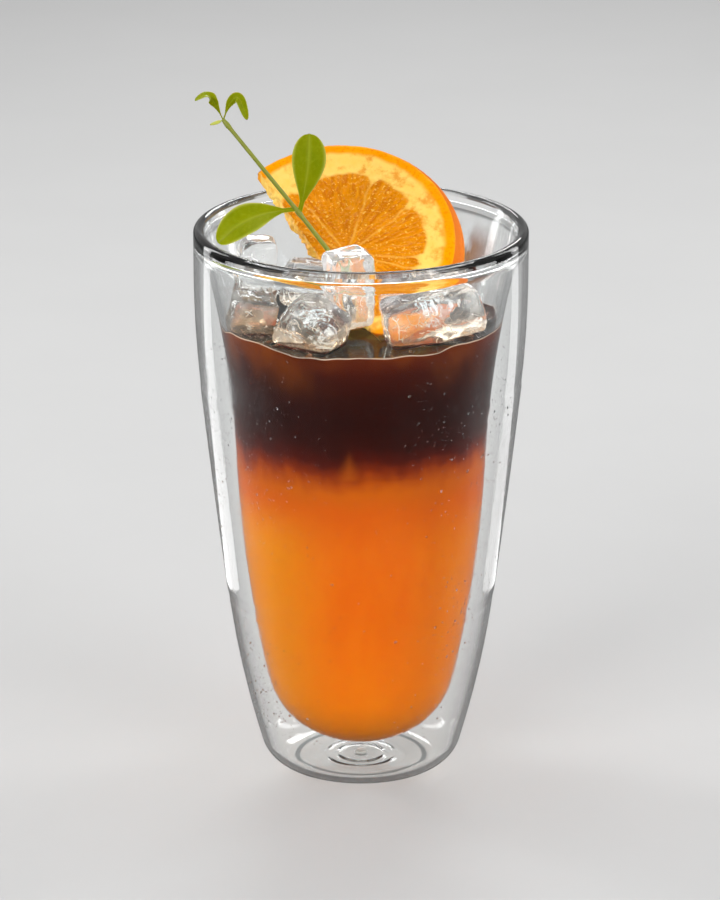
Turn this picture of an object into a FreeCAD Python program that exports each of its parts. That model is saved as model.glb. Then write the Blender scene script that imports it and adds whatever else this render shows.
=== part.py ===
import FreeCAD, Part
import math
import os

import Sketcher
from FreeCAD import Placement, Rotation, Vector

# A tall glass with a double wall, filled with orange juice and a layer of coffee.
# Ice stands out of the coffee, with a thick half slice of orange and a leafy sprig.
# +Z is up and the origin is the middle of the glass's foot. Millimetres and degrees.

doc = FreeCAD.newDocument("iced_coffee")

# ---------------------------------------------------------------- driving sizes
SIZES = {
    # the glass: an outer shell and an inner bowl, fused at the lip
    "outer_diameter": 90,
    "rim_height": 153,
    "lip_thickness": 3,
    "wall": 1.5,
    "shoulder_drop": 12,       # below the rim, where the outside turns upright
    "cheek_radius": 306.3,     # the outside's arcs, from the shoulder to the foot
    "side_radius": 2794,
    "hip_radius": 275.6,
    "hip_level": 84.3,         # the height of the hip arc's centre
    "foot_corner": 9.5,
    "foot_inset": 26.7,        # the foot corner's centre, in from the widest radius
    "flare_radius": 310,       # the bowl's arcs, from the lip to the floor
    "flare_drop": 79.6,        # below the rim, the height of the flare's centre
    "bowl_wall_radius": 370,
    "bowl_corner_inset": 24,   # the corner's radius is this much less than the widest
    "bowl_corner_reach": 3.5,  # the corner's centre from the axis
    "bowl_floor_dip": 1.03,    # how far the floor dips below the corners
    "bowl_floor_height": 8.25,
    "seam_drop": 3,            # the sealed gap ends this far below the rim
    "vent_diameter": 3.3,
    "seal_button": 0.7,
    "seal_edge": 0.4,
    # the drink
    "freeboard": 26,
    "coffee_depth": 34.5,
    # the slice of orange, in its own plane and then as it leans
    "slice_radius": 33,
    "slice_back_radius": 34.9,
    "slice_thickness": 7,
    "fruit_radius": 36,
    "slice_cut_offset": 5.2,
    "slice_cut_angle": -54,
    "slice_x": -6.6,           # the middle of its back, which leans on the rear rim
    "slice_from_rim": 26.9,
    "slice_drop": 13.5,
    "slice_turn": 8,
    "slice_lean": 50,
    # the sprig
    "stem_diameter": 1.4,
    "stem_foot_across": 12,    # where it rests on the slice's face
    "stem_foot_up": -18.9,
    "stem_clearance": 0.3,
    # the ice
    "ice_round": 2.2,
    "ice_clearance": 0.3,
    "ice_hollow_depth": 1.2,
}

# One block of ice a row: its middle, across and back from the middle of the slice's face;
# its length, width and height; roll, pitch and yaw; how much it narrows upwards; and the
# radius of the hollow melted into its near side.
ICE_COLUMNS = ("x", "y", "rise", "long", "wide", "tall", "roll", "pitch", "yaw",
               "narrow", "hollow")

# These stand in the coffee, so their rise is from its level.
STANDING_ICE = {
    "ice_left_rear": (-21.3, -7.2, 10.6, 11.5, 11, 22, 3, 6, 15, 0.85, 9),
    "ice_left_front": (-21.7, -19.7, 2.8, 13, 12, 14, 8, 8, 12, 0.9, 7),
    "ice_front": (-5.3, -33, 4.7, 17, 14, 15, 20, 28, -25, 0.88, 9),
    "ice_right": (25.6, -28.3, 6.9, 27, 12.6, 13.3, 12, -14, 12, 0.92, 10),
}

# These lean on the slice, so their rise is from the middle of its face.
LEANING_ICE = {
    "ice_tall": (4.3, -24.4, -5.1, 10.5, 9.5, 21, 5, -6, 25, 1.2, 8),
    "ice_centre": (15.7, -18.9, -9.5, 8.5, 7.5, 6.4, 40, 0, -8, 0.85, 7),
    "ice_rear": (-7.8, -9.3, -8, 13, 9.5, 12, 0, 8, -8, 0.9, 9),
}
ICE = STANDING_ICE | LEANING_ICE

# The sprig's turning points, from the middle of the slice's face. The stem starts at
# its foot, which lies on the slice, and the leaves start inside the stem.
PATHS = {
    "stem": ((-0.6, -14.5, 1.2), (-9.4, -14.5, 12.9), (-20, -12.5, 25.9), (-29.6, -8.5, 37)),
    "upper_leaf": ((-9.3, -14.5, 12.7), (-8.4, -15, 18.5), (-7.7, -14.5, 26.5), (-7.5, -12.5, 34.2)),
    "left_leaf": ((-10.3, -14.5, 13.9), (-18.7, -16.5, 13.2), (-25.9, -18.5, 10.5), (-31.9, -19.5, 5.5)),
    "tip_leaf": ((-29.5, -8.5, 36.9), (-31.7, -9.5, 41.9), (-33.8, -10.5, 44.1), (-36.9, -12, 43.1)),
    "bent_leaf": ((-29.5, -8.5, 36.9), (-27.7, -8.5, 41.6), (-25.3, -9.1, 42.9), (-23.1, -10, 37.3)),
    "stub": ((-29.5, -8.5, 36.9), (-31.3, -9.5, 36.4), (-33, -10.5, 36.1)),
}

# A leaf's width and thickness, how far along it is broadest, and the way it faces.
LEAF_COLUMNS = ("width", "thickness", "broadest")
LEAVES = {
    "upper_leaf": (8.6, 0.9, 0.74),
    "left_leaf": (9.6, 0.9, 0.6),
    "tip_leaf": (2.8, 0.6, 0.6),
    "bent_leaf": (2.8, 0.6, 0.55),
    "stub": (1, 0.7, 0.4),
}
FACING = {
    "stem": Vector(0, -1, 0.2),
    "upper_leaf": Vector(0.1, -0.97, 0.2),
    "left_leaf": Vector(-0.3, -0.7, 0.65),
    "tip_leaf": Vector(-0.5, -0.45, 0.75),
    "bent_leaf": Vector(0.2, -0.8, 0.5),
    "stub": Vector(0, -0.7, 0.7),
}

cells = dict(SIZES)
for piece, values in ICE.items():
    cells.update({f"{piece}_{column}": value for column, value in zip(ICE_COLUMNS, values)})
for piece, values in LEAVES.items():
    cells.update({f"{piece}_{column}": value for column, value in zip(LEAF_COLUMNS, values)})
for piece, points in PATHS.items():
    for number, point in enumerate(points, start=1):
        for letter, value in zip(("x", "y", "rise"), point):
            cells[f"{piece}_{number}_{letter}"] = value

sheet = doc.addObject("Spreadsheet::Sheet", "Sizes")
for row, (alias, value) in enumerate(cells.items(), start=1):
    sheet.set(f"A{row}", alias.replace("_", " "))
    sheet.set(f"B{row}", str(value))
    sheet.setAlias(f"B{row}", alias)
doc.recompute()


def size(alias):
    return float(sheet.get(alias))


# ---------------------------------------------------------------- sketch helpers
def origin_plane(body, role):
    return next(item for item in body.Origin.OriginFeatures if item.Role == role)


def new_body(name):
    body = doc.addObject("PartDesign::Body", name)
    body.Label = name
    return body


def new_sketch(body, name, role="XZ_Plane"):
    sketch = body.newObject("Sketcher::SketchObject", name)
    sketch.AttachmentSupport = [(origin_plane(body, role), "")]
    sketch.MapMode = "FlatFace"
    return sketch


def add_line(sketch, start, end):
    return sketch.addGeometry(Part.LineSegment(start, end), False)


def add_arc(sketch, centre, start, end, construction=False):
    """An anticlockwise arc about centre from start to end."""
    first = math.atan2(start.y - centre.y, start.x - centre.x)
    last = math.atan2(end.y - centre.y, end.x - centre.x)
    if last < first:
        last += 2 * math.pi
    circle = Part.Circle(centre, Vector(0, 0, 1), (start - centre).Length)
    return sketch.addGeometry(Part.ArcOfCircle(circle, first, last), construction)


START, END, CENTRE = 1, 2, 3
ORIGIN, VERTICAL_AXIS = -1, -2


def join(sketch, first, first_end, second, second_end):
    sketch.addConstraint(Sketcher.Constraint("Coincident", first, first_end, second, second_end))


def blend(sketch, first, first_end, second, second_end):
    sketch.addConstraint(Sketcher.Constraint("Tangent", first, first_end, second, second_end))


def bind(sketch, constraint, name, expression):
    index = sketch.addConstraint(constraint)
    sketch.renameConstraint(index, name)
    sketch.setExpression(f"Constraints.{name}", expression)


def bind_x(sketch, item, end, name, expression):
    at = sketch.getPoint(item, end).x
    bind(sketch, Sketcher.Constraint("DistanceX", item, end, at), name, expression)


def bind_y(sketch, item, end, name, expression):
    at = sketch.getPoint(item, end).y
    bind(sketch, Sketcher.Constraint("DistanceY", item, end, at), name, expression)


def bind_radius(sketch, item, name, expression):
    radius = sketch.Geometry[item].Radius
    bind(sketch, Sketcher.Constraint("Radius", item, radius), name, expression)


def spin(body, name, sketch, kind="PartDesign::Revolution"):
    feature = body.newObject(kind, name)
    feature.Profile = sketch
    feature.ReferenceAxis = (sketch, ["V_Axis"])
    feature.Angle = 360
    return feature


# ---------------------------------------------------------------- the glass's curves
def circles_meet(first, first_radius, second, second_radius):
    """The two crossings of two circles."""
    gap = second - first
    along = (first_radius ** 2 - second_radius ** 2 + gap.Length ** 2) / (2 * gap.Length)
    across = math.sqrt(first_radius ** 2 - along ** 2)
    unit = Vector(gap).normalize()
    side = Vector(-unit.y, unit.x, 0)
    return first + unit * along + side * across, first + unit * along - side * across


def touch(outer_centre, inner_centre, radius):
    """Where a circle of this radius touches another one, on the line of their centres."""
    return outer_centre + (inner_centre - outer_centre).normalize() * radius


def shell_points(skin):
    """The joints of the outside's arcs from shoulder to foot, and their centres."""
    widest = size("outer_diameter") / 2
    cheek, side = size("cheek_radius"), size("side_radius")
    hip, corner = size("hip_radius"), size("foot_corner")
    shoulder = Vector(widest - skin, size("rim_height") - size("shoulder_drop"), 0)
    cheek_centre = Vector(widest - cheek, shoulder.y, 0)
    foot_centre = Vector(widest - size("foot_inset"), corner, 0)
    drop = size("hip_level") - foot_centre.y
    hip_centre = foot_centre + Vector(-math.sqrt((hip - corner) ** 2 - drop ** 2), drop, 0)
    side_centre = min(circles_meet(cheek_centre, side - cheek, hip_centre, side - hip),
                      key=lambda centre: centre.x)
    joints = (shoulder, touch(side_centre, cheek_centre, side - skin),
              touch(side_centre, hip_centre, side - skin),
              touch(hip_centre, foot_centre, hip - skin), Vector(foot_centre.x, skin, 0))
    return joints, (cheek_centre, side_centre, hip_centre, foot_centre)


def add_shell(sketch, skin, skin_text):
    """Foot, wall and shoulder, from the axis out and up. Gives the first and last items."""
    joints, centres = shell_points(skin)
    top, side, hip, corner = [add_arc(sketch, centres[i], joints[i + 1], joints[i])
                              for i in range(4)]
    floor = add_line(sketch, Vector(0, skin, 0), joints[4])
    blend(sketch, floor, END, corner, START)
    blend(sketch, corner, END, hip, START)
    blend(sketch, hip, END, side, START)
    blend(sketch, side, END, top, START)
    sketch.addConstraint(Sketcher.Constraint("Horizontal", floor))
    bind_x(sketch, floor, END, "foot_x", "Sizes.outer_diameter / 2 - Sizes.foot_inset")
    bind_radius(sketch, corner, "foot_corner", f"Sizes.foot_corner{skin_text}")
    bind_radius(sketch, hip, "hip", f"Sizes.hip_radius{skin_text}")
    bind_y(sketch, hip, CENTRE, "hip_level", "Sizes.hip_level")
    bind_radius(sketch, side, "side", f"Sizes.side_radius{skin_text}")
    bind_radius(sketch, top, "cheek", f"Sizes.cheek_radius{skin_text}")
    bind_x(sketch, top, END, "shoulder_x", f"Sizes.outer_diameter / 2{skin_text}")
    bind_y(sketch, top, END, "shoulder_y", "Sizes.rim_height - Sizes.shoulder_drop")
    return floor, top


def bowl_points():
    """The joints of the bowl's inside, from the lip to the axis, and its arcs' centres."""
    widest = size("outer_diameter") / 2
    rim = size("rim_height")
    half_lip = size("lip_thickness") / 2
    flare, wall = size("flare_radius"), size("bowl_wall_radius")
    corner = widest - size("bowl_corner_inset")
    dip, reach = size("bowl_floor_dip"), size("bowl_corner_reach")

    # the flare's centre lies outside the glass
    lip_centre = Vector(widest - half_lip, rim - half_lip, 0)
    drop = size("flare_drop") - half_lip
    across = math.sqrt((flare - half_lip) ** 2 - drop ** 2)
    flare_centre = lip_centre + Vector(across, -drop, 0)
    bottom = Vector(0, size("bowl_floor_height"), 0)
    corner_centre = bottom + Vector(reach, dip + corner, 0)
    wall_centre = max(circles_meet(flare_centre, flare + wall, corner_centre, wall - corner),
                      key=lambda centre: centre.y)
    floor = reach ** 2 / (2 * dip) + corner + dip / 2
    floor_centre = bottom + Vector(0, floor, 0)
    joints = (Vector(widest, lip_centre.y, 0),
              lip_centre + (lip_centre - flare_centre).normalize() * half_lip,
              touch(flare_centre, wall_centre, flare), touch(wall_centre, corner_centre, wall),
              touch(floor_centre, corner_centre, floor), bottom)
    return joints, (lip_centre, flare_centre, wall_centre, corner_centre, floor_centre)


def add_bowl(sketch, construction=False):
    """Lip, flare, wall, corner and floor, from the top of the outside to the axis."""
    joints, centres = bowl_points()
    corner_text = "Sizes.outer_diameter / 2 - Sizes.bowl_corner_inset"
    dip_text = "Sizes.bowl_floor_height + Sizes.bowl_floor_dip"
    lip, flare = [add_arc(sketch, centres[i], joints[i], joints[i + 1], construction)
                  for i in (0, 1)]
    wall, corner, floor = [add_arc(sketch, centres[i], joints[i + 1], joints[i], construction)
                           for i in (2, 3, 4)]
    blend(sketch, lip, END, flare, START)
    blend(sketch, flare, END, wall, END)
    blend(sketch, wall, START, corner, END)
    blend(sketch, corner, START, floor, END)
    bind_radius(sketch, lip, "lip", "Sizes.lip_thickness / 2")
    bind_y(sketch, lip, CENTRE, "lip_y", "Sizes.rim_height - Sizes.lip_thickness / 2")
    bind_radius(sketch, flare, "flare", "Sizes.flare_radius")
    bind_y(sketch, flare, CENTRE, "flare_level", "Sizes.rim_height - Sizes.flare_drop")
    bind_radius(sketch, wall, "bowl_wall", "Sizes.bowl_wall_radius")
    bind_radius(sketch, corner, "bowl_corner", corner_text)
    bind_x(sketch, corner, CENTRE, "corner_x", "Sizes.bowl_corner_reach")
    bind_y(sketch, corner, CENTRE, "corner_y", f"{dip_text} + {corner_text}")
    sketch.addConstraint(Sketcher.Constraint("PointOnObject", floor, CENTRE, VERTICAL_AXIS))
    sketch.addConstraint(Sketcher.Constraint("PointOnObject", floor, START, VERTICAL_AXIS))
    bind_y(sketch, floor, START, "bowl_bottom", "Sizes.bowl_floor_height")
    if construction:
        bind_x(sketch, lip, CENTRE, "lip_x", "Sizes.outer_diameter / 2 - Sizes.lip_thickness / 2")
        sketch.addConstraint(Sketcher.Constraint("Horizontal", lip, START, lip, CENTRE))
    return lip, flare, wall, corner, floor


def add_bowl_skin(sketch, skin, skin_text, top, top_text):
    """The bowl's curve moved out by skin, below the height top. Gives its two end arcs."""
    traced = add_bowl(sketch, construction=True)[1:]
    joints, centres = bowl_points()
    opposite = skin_text.translate(str.maketrans("+-", "-+"))
    moved = []
    for i, arc in enumerate(traced, start=1):
        radius = sketch.Geometry[arc].Radius + (skin if i > 1 else -skin)
        ends = [centres[i] + (joint - centres[i]).normalize() * radius
                for joint in joints[i:i + 2]]
        if i == 1:
            rise = top - centres[1].y
            ends[0] = Vector(centres[1].x - math.sqrt(radius ** 2 - rise ** 2), top, 0)
        else:
            ends.reverse()
        moved.append(add_arc(sketch, centres[i], *ends))
        join(sketch, moved[-1], CENTRE, arc, CENTRE)
    flare, wall, corner, floor = moved
    blend(sketch, flare, END, wall, END)
    blend(sketch, wall, START, corner, END)
    blend(sketch, corner, START, floor, END)
    bind_radius(sketch, flare, "flare_skin", f"Sizes.flare_radius{opposite}")
    bind_y(sketch, flare, START, "top", top_text)
    sketch.addConstraint(Sketcher.Constraint("PointOnObject", floor, START, VERTICAL_AXIS))
    return flare, floor


def make_glass():
    body = new_body("glass")

    # the whole wall's section: up the outside, over the lip and down the bowl
    section = new_sketch(body, "glass_section")
    foot, shoulder = add_shell(section, 0, "")
    lip, *_, bowl_floor = add_bowl(section)
    upright = add_line(section, section.getPoint(shoulder, END), section.getPoint(lip, START))
    axis = add_line(section, section.getPoint(bowl_floor, START), Vector(0, 0, 0))
    join(section, foot, START, ORIGIN, 1)
    blend(section, shoulder, END, upright, START)
    section.addConstraint(Sketcher.Constraint("Vertical", upright))
    blend(section, upright, END, lip, START)
    join(section, bowl_floor, START, axis, START)
    join(section, axis, END, foot, START)
    spin(body, "glass_wall", section)
    doc.recompute()
    whole = body.Shape.Volume

    # the sealed gap between shell and bowl
    gap = new_sketch(body, "gap_section")
    skin = size("wall")
    seam_height = size("rim_height") - size("seam_drop")
    foot, shoulder = add_shell(gap, skin, " - Sizes.wall")
    flare, bowl_floor = add_bowl_skin(gap, skin, " + Sizes.wall", seam_height,
                                      "Sizes.rim_height - Sizes.seam_drop")
    seam_end = Vector(size("outer_diameter") / 2 - skin, seam_height, 0)
    upright = add_line(gap, gap.getPoint(shoulder, END), seam_end)
    seam = add_line(gap, seam_end, gap.getPoint(flare, START))
    axis = add_line(gap, gap.getPoint(bowl_floor, START), Vector(0, skin, 0))
    bind_y(gap, foot, START, "gap_floor", "Sizes.wall")
    gap.addConstraint(Sketcher.Constraint("PointOnObject", foot, START, VERTICAL_AXIS))
    blend(gap, shoulder, END, upright, START)
    gap.addConstraint(Sketcher.Constraint("Vertical", upright))
    join(gap, upright, END, seam, START)
    gap.addConstraint(Sketcher.Constraint("Horizontal", seam))
    join(gap, seam, END, flare, START)
    join(gap, bowl_floor, START, axis, START)
    join(gap, axis, END, foot, START)
    spin(body, "sealed_gap", gap, "PartDesign::Groove")
    doc.recompute()
    hollow = body.Shape.Volume

    # the vent in the foot, through which the maker evens the gap's pressure
    vent_sketch = new_sketch(body, "vent_circle", "XY_Plane")
    circle = vent_sketch.addGeometry(
        Part.Circle(Vector(0, 0, 0), Vector(0, 0, 1), size("vent_diameter") / 2), False)
    join(vent_sketch, circle, CENTRE, ORIGIN, 1)
    bind_radius(vent_sketch, circle, "vent", "Sizes.vent_diameter / 2")
    vent = body.newObject("PartDesign::Pocket", "vent")
    vent.Profile = vent_sketch
    vent.Reversed = True
    vent.setExpression("Length", "Sizes.wall * 2")
    doc.recompute()
    if not whole > hollow > body.Shape.Volume:
        raise ValueError("the gap or the vent cut nothing")
    return body


def make_seal():
    """The drop of clear sealant that closes the vent."""
    body = new_body("vent_seal")
    sketch = new_sketch(body, "seal_circle", "XY_Plane")
    circle = sketch.addGeometry(
        Part.Circle(Vector(0, 0, 0), Vector(0, 0, 1), size("vent_diameter") / 2), False)
    join(sketch, circle, CENTRE, ORIGIN, 1)
    bind_radius(sketch, circle, "seal", "Sizes.vent_diameter / 2")
    pad = body.newObject("PartDesign::Pad", "seal_pad")
    pad.Profile = sketch
    pad.setExpression("Length", "Sizes.wall + Sizes.seal_button")
    doc.recompute()
    top = max(range(len(pad.Shape.Edges)), key=lambda i: pad.Shape.Edges[i].CenterOfMass.z)
    fillet = body.newObject("PartDesign::Fillet", "seal_round")
    fillet.Base = (pad, [f"Edge{top + 1}"])
    fillet.setExpression("Radius", "Sizes.seal_edge")
    return body


def make_bowl_space(name, skin, skin_text):
    """What the bowl holds, from its floor to its lip; skin is 0, or less to stay clear."""
    body = new_body(name)
    sketch = new_sketch(body, f"{name}_section")
    rim = size("rim_height") - size("lip_thickness") / 2
    flare, bowl_floor = add_bowl_skin(sketch, skin, skin_text, rim,
                                      "Sizes.rim_height - Sizes.lip_thickness / 2")
    rim_end = sketch.getPoint(flare, START)
    top = add_line(sketch, rim_end, Vector(0, rim_end.y, 0))
    axis = add_line(sketch, Vector(0, rim_end.y, 0), sketch.getPoint(bowl_floor, START))
    join(sketch, flare, START, top, START)
    sketch.addConstraint(Sketcher.Constraint("Horizontal", top))
    join(sketch, top, END, axis, START)
    sketch.addConstraint(Sketcher.Constraint("PointOnObject", top, END, VERTICAL_AXIS))
    join(sketch, axis, END, bowl_floor, START)
    spin(body, f"{name}_solid", sketch)
    return body


# ---------------------------------------------------------------- slice, sprig and ice
RIM_INSIDE = "Sizes.outer_diameter / 2 - Sizes.lip_thickness"


def slice_placement():
    """Where the middle of the slice's back is. Local X runs across it, Y up it and Z out."""
    base = Vector(size("slice_x"),
                  size("outer_diameter") / 2 - size("lip_thickness") - size("slice_from_rim"),
                  size("rim_height") - size("slice_drop"))
    return Placement(base, Rotation(-size("slice_turn"), 0, 90 - size("slice_lean")))


def on_slice(across, up, out):
    """A place on the slice's face, or off it."""
    return slice_placement().multVec(Vector(across, up, size("slice_thickness") + out))


def make_slice():
    """A thick slice with a rounded rind, cut a little below its core."""
    body = new_body("orange_slice")
    front, back = size("slice_radius"), size("slice_back_radius")
    depth, bulge = size("slice_thickness"), size("fruit_radius")
    section = new_sketch(body, "slice_section")
    corners = [Vector(0, depth, 0), Vector(front, depth, 0), Vector(back, 0, 0), Vector(0, 0, 0)]
    chord = corners[1] - corners[2]
    half = chord.Length / 2
    inward = Vector(-chord.y, chord.x, 0).normalize()
    rind_centre = (corners[1] + corners[2]) / 2 + inward * math.sqrt(bulge ** 2 - half ** 2)
    face = add_line(section, corners[0], corners[1])
    rind = add_arc(section, rind_centre, corners[2], corners[1])
    rear = add_line(section, corners[2], corners[3])
    core = add_line(section, corners[3], corners[0])
    join(section, face, END, rind, END)
    join(section, rind, START, rear, START)
    join(section, rear, END, ORIGIN, 1)
    join(section, core, START, ORIGIN, 1)
    join(section, core, END, face, START)
    section.addConstraint(Sketcher.Constraint("Horizontal", face))
    section.addConstraint(Sketcher.Constraint("Horizontal", rear))
    section.addConstraint(Sketcher.Constraint("Vertical", core))
    bind_x(section, face, END, "front_radius", "Sizes.slice_radius")
    bind_x(section, rear, START, "back_radius", "Sizes.slice_back_radius")
    depth_rule = Sketcher.Constraint("DistanceY", rear, END, face, START, depth)
    bind(section, depth_rule, "depth", "Sizes.slice_thickness")
    bind_radius(section, rind, "fruit", "Sizes.fruit_radius")
    spin(body, "slice_disc", section)
    doc.recompute()
    disc = body.Shape.Volume

    knife = new_sketch(body, "slice_cut", "XY_Plane")
    knife.AttachmentOffset = Placement(Vector(0, 0, 0), Rotation(size("slice_cut_angle"), 0, 0))
    knife.setExpression("AttachmentOffset.Rotation.Angle", "abs(Sizes.slice_cut_angle)")
    reach = back * 2
    offset = size("slice_cut_offset")
    points = [Vector(-reach, -offset, 0), Vector(reach, -offset, 0),
              Vector(reach, -reach, 0), Vector(-reach, -reach, 0)]
    sides = [add_line(knife, points[i], points[(i + 1) % 4]) for i in range(4)]
    for i in range(4):
        join(knife, sides[i], END, sides[(i + 1) % 4], START)
        knife.addConstraint(Sketcher.Constraint("Vertical" if i % 2 else "Horizontal", sides[i]))
    bind_x(knife, sides[0], END, "right", "Sizes.slice_back_radius * 2")
    distance = Sketcher.Constraint("DistanceX", sides[0], START, sides[0], END, reach * 2)
    bind(knife, distance, "breadth", "Sizes.slice_back_radius * 4")
    drop = Sketcher.Constraint("DistanceY", sides[0], START, ORIGIN, 1, offset)
    bind(knife, drop, "offset", "Sizes.slice_cut_offset")
    height = Sketcher.Constraint("DistanceY", sides[2], START, ORIGIN, 1, reach)
    bind(knife, height, "reach", "Sizes.slice_back_radius * 2")
    pocket = body.newObject("PartDesign::Pocket", "slice_chord")
    pocket.Profile = knife
    pocket.Reversed = True
    pocket.setExpression("Length", "Sizes.slice_thickness * 2")
    doc.recompute()
    if body.Shape.Volume >= disc:
        raise ValueError("the slice is uncut")
    body.Placement = slice_placement()
    body.setExpression("Placement.Base.x", "Sizes.slice_x")
    body.setExpression("Placement.Base.y", f"{RIM_INSIDE} - Sizes.slice_from_rim")
    body.setExpression("Placement.Base.z", "Sizes.rim_height - Sizes.slice_drop")
    return body


# a melted edge is never rounder than this share of the block's thinnest side
ROUNDEST = 0.3


def make_ice(name, room):
    """A block that narrows upwards, with its edges melted round and a hollow in a side."""
    long, wide, tall = (size(f"{name}_{key}") for key in ("long", "wide", "tall"))
    start = on_slice(0, 0, 0)
    if name in STANDING_ICE:
        start.z = size("rim_height") - size("freeboard")
    place = start + Vector(size(f"{name}_x"), size(f"{name}_y"), size(f"{name}_rise"))
    turn = Rotation(size(f"{name}_yaw"), size(f"{name}_pitch"), size(f"{name}_roll"))
    wedge = doc.addObject("Part::Wedge", f"{name}_wedge")
    for letter, key in (("X", "long"), ("Z", "wide")):
        cell = f"Sizes.{name}_{key}"
        wedge.setExpression(f"{letter}min", f"-{cell} / 2")
        wedge.setExpression(f"{letter}max", f"{cell} / 2")
        wedge.setExpression(f"{letter}2min", f"-{cell} * Sizes.{name}_narrow / 2")
        wedge.setExpression(f"{letter}2max", f"{cell} * Sizes.{name}_narrow / 2")
    wedge.setExpression("Ymin", f"-Sizes.{name}_tall / 2")
    wedge.setExpression("Ymax", f"Sizes.{name}_tall / 2")
    # the wedge narrows along its own Y, which is stood up here
    wedge.Placement = Placement(place, turn * Rotation(Vector(1, 0, 0), 90))
    doc.recompute()
    rounded = doc.addObject("Part::Fillet", f"{name}_rounded")
    rounded.Base = wedge
    radius = min(size("ice_round"), ROUNDEST * min(long, wide, tall))
    rounded.Edges = [(index + 1, radius, radius) for index in range(len(wedge.Shape.Edges))]
    hollow = doc.addObject("Part::Sphere", f"{name}_hollow")
    hollow.setExpression("Radius", f"Sizes.{name}_hollow")
    out = Vector(0, size("ice_hollow_depth") - wide / 2 - size(f"{name}_hollow"), 0)
    hollow.Placement = Placement(place + turn.multVec(out), turn)
    carved = doc.addObject("Part::Cut", f"{name}_carved")
    carved.Base = rounded
    carved.Tool = hollow
    block = doc.addObject("Part::Common", name)
    block.Base = carved
    block.Tool = room
    block.Label = name
    return block


def path_points(name):
    return [on_slice(0, 0, 0) + Vector(*[size(f"{name}_{number}_{key}")
                                         for key in ("x", "y", "rise")])
            for number in range(1, len(PATHS[name]) + 1)]


STALK_SHARE = 1 / 14       # of a leaf's width, half its stalk's
EDGE_SHARE = 0.25          # of its thickness, at its edges
LAST_LOOP = 0.995          # a leaf's last loop, just short of its tip


def leaf_half_width(along, width, broadest):
    """A spoon's outline: a narrow stalk that widens to broadest, then a round end."""
    if along < broadest:
        part = along / broadest
        return max(width / 2 * part * part * (3 - 2 * part), width * STALK_SHARE)
    part = (along - broadest) / (1 - broadest)
    return width / 2 * math.sqrt(max(1 - part * part, 0))


def ring(curve, along, facing, half_width, half_depth, sides):
    """A flat many-sided loop across a curve, its width square to the way it faces."""
    centre = curve.value(curve.LastParameter * along)
    forward = curve.tangent(curve.LastParameter * along)[0]
    side = forward.cross(facing).normalize()
    normal = side.cross(forward).normalize()
    corners = []
    for step in range(sides):
        angle = 2 * math.pi * step / sides
        across = side * (half_width * math.cos(angle))
        corners.append(centre + across + normal * (half_depth * math.sin(angle)))
    return Part.makePolygon(corners + corners[:1])


def make_leaf(name, steps=10, sides=6):
    width, thickness, broadest = (size(f"{name}_{column}") for column in LEAF_COLUMNS)
    midrib = Part.BSplineCurve()
    midrib.interpolate(path_points(name))
    loops = []
    for step in range(steps + 1):
        along = LAST_LOOP * math.sin(step / steps * math.pi / 2)
        half_width = leaf_half_width(along, width, broadest)
        half_depth = thickness / 2 * min(1, EDGE_SHARE + half_width / width * 2)
        loops.append(ring(midrib, along, FACING[name], half_width, half_depth, sides))
    return Part.makeLoft(loops, True, True)


def make_sprig(steps=14, sides=8):
    """A stem that stands between the ice and the slice, with its leaves, all one piece."""
    radius = size("stem_diameter") / 2
    foot = on_slice(size("stem_foot_across"), size("stem_foot_up"),
                    radius + size("stem_clearance"))
    spine = Part.BSplineCurve()
    spine.interpolate([foot] + path_points("stem"))
    loops = [ring(spine, step / steps, FACING["stem"], radius, radius, sides)
             for step in range(steps + 1)]
    stem = Part.makeLoft(loops, True, True)
    sprig = doc.addObject("Part::Feature", "leaf_sprig")
    sprig.Shape = stem.fuse([make_leaf(name) for name in LEAVES])
    sprig.Label = "leaf_sprig"
    sprig.Placement = Placement()
    return sprig


def make_layer(name, space, low, high):
    """What the bowl holds between two heights, given as expressions."""
    slab = doc.addObject("Part::Cylinder", f"{name}_slab")
    slab.setExpression("Radius", "Sizes.outer_diameter")
    slab.setExpression("Height", f"{high} - ({low})")
    slab.setExpression("Placement.Base.z", low)
    layer = doc.addObject("Part::Common", name)
    layer.Base = space
    layer.Tool = slab
    layer.Label = name
    return layer


# ---------------------------------------------------------------- the whole drink
LEVEL = "Sizes.rim_height - Sizes.freeboard"
BOUNDARY = f"{LEVEL} - Sizes.coffee_depth"

nodes = [make_glass(), make_seal()]
drink_space = make_bowl_space("drink_space", 0, "")
ice_room = make_bowl_space("ice_room", -size("ice_clearance"), " - Sizes.ice_clearance")
orange_slice = make_slice()
leaf_sprig = make_sprig()
blocks = [make_ice(name, ice_room) for name in ICE]

nodes.append(make_layer("juice", drink_space, "0", BOUNDARY))
full_coffee = make_layer("coffee_layer", drink_space, BOUNDARY, LEVEL)
sunk = doc.addObject("Part::MultiFuse", "sunk_pieces")
sunk.Shapes = blocks + [orange_slice, leaf_sprig]
coffee = doc.addObject("Part::Cut", "coffee")
coffee.Base = full_coffee
coffee.Tool = sunk
coffee.Label = "coffee"
nodes += [coffee, orange_slice, leaf_sprig] + blocks

doc.recompute()
for item in doc.Objects:
    if "Invalid" in item.State or "Error" in item.State:
        raise RuntimeError(f"{item.Label} failed: {item.State}")
for node in nodes:
    shape = node.Shape
    if shape.isNull() or not shape.isValid() or len(shape.Solids) != 1:
        raise RuntimeError(f"{node.Label} is not one sound solid")

os.makedirs("parts", exist_ok=True)
for node in nodes:
    node.Shape.exportStep(f"parts/{node.Label}.step")
    print(node.Label, round(node.Shape.Volume / 1000, 2), "cm3")
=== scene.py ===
import math
import random

import bpy
import numpy as np
from mathutils import Matrix, Vector, noise
from mathutils.bvhtree import BVHTree


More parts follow.
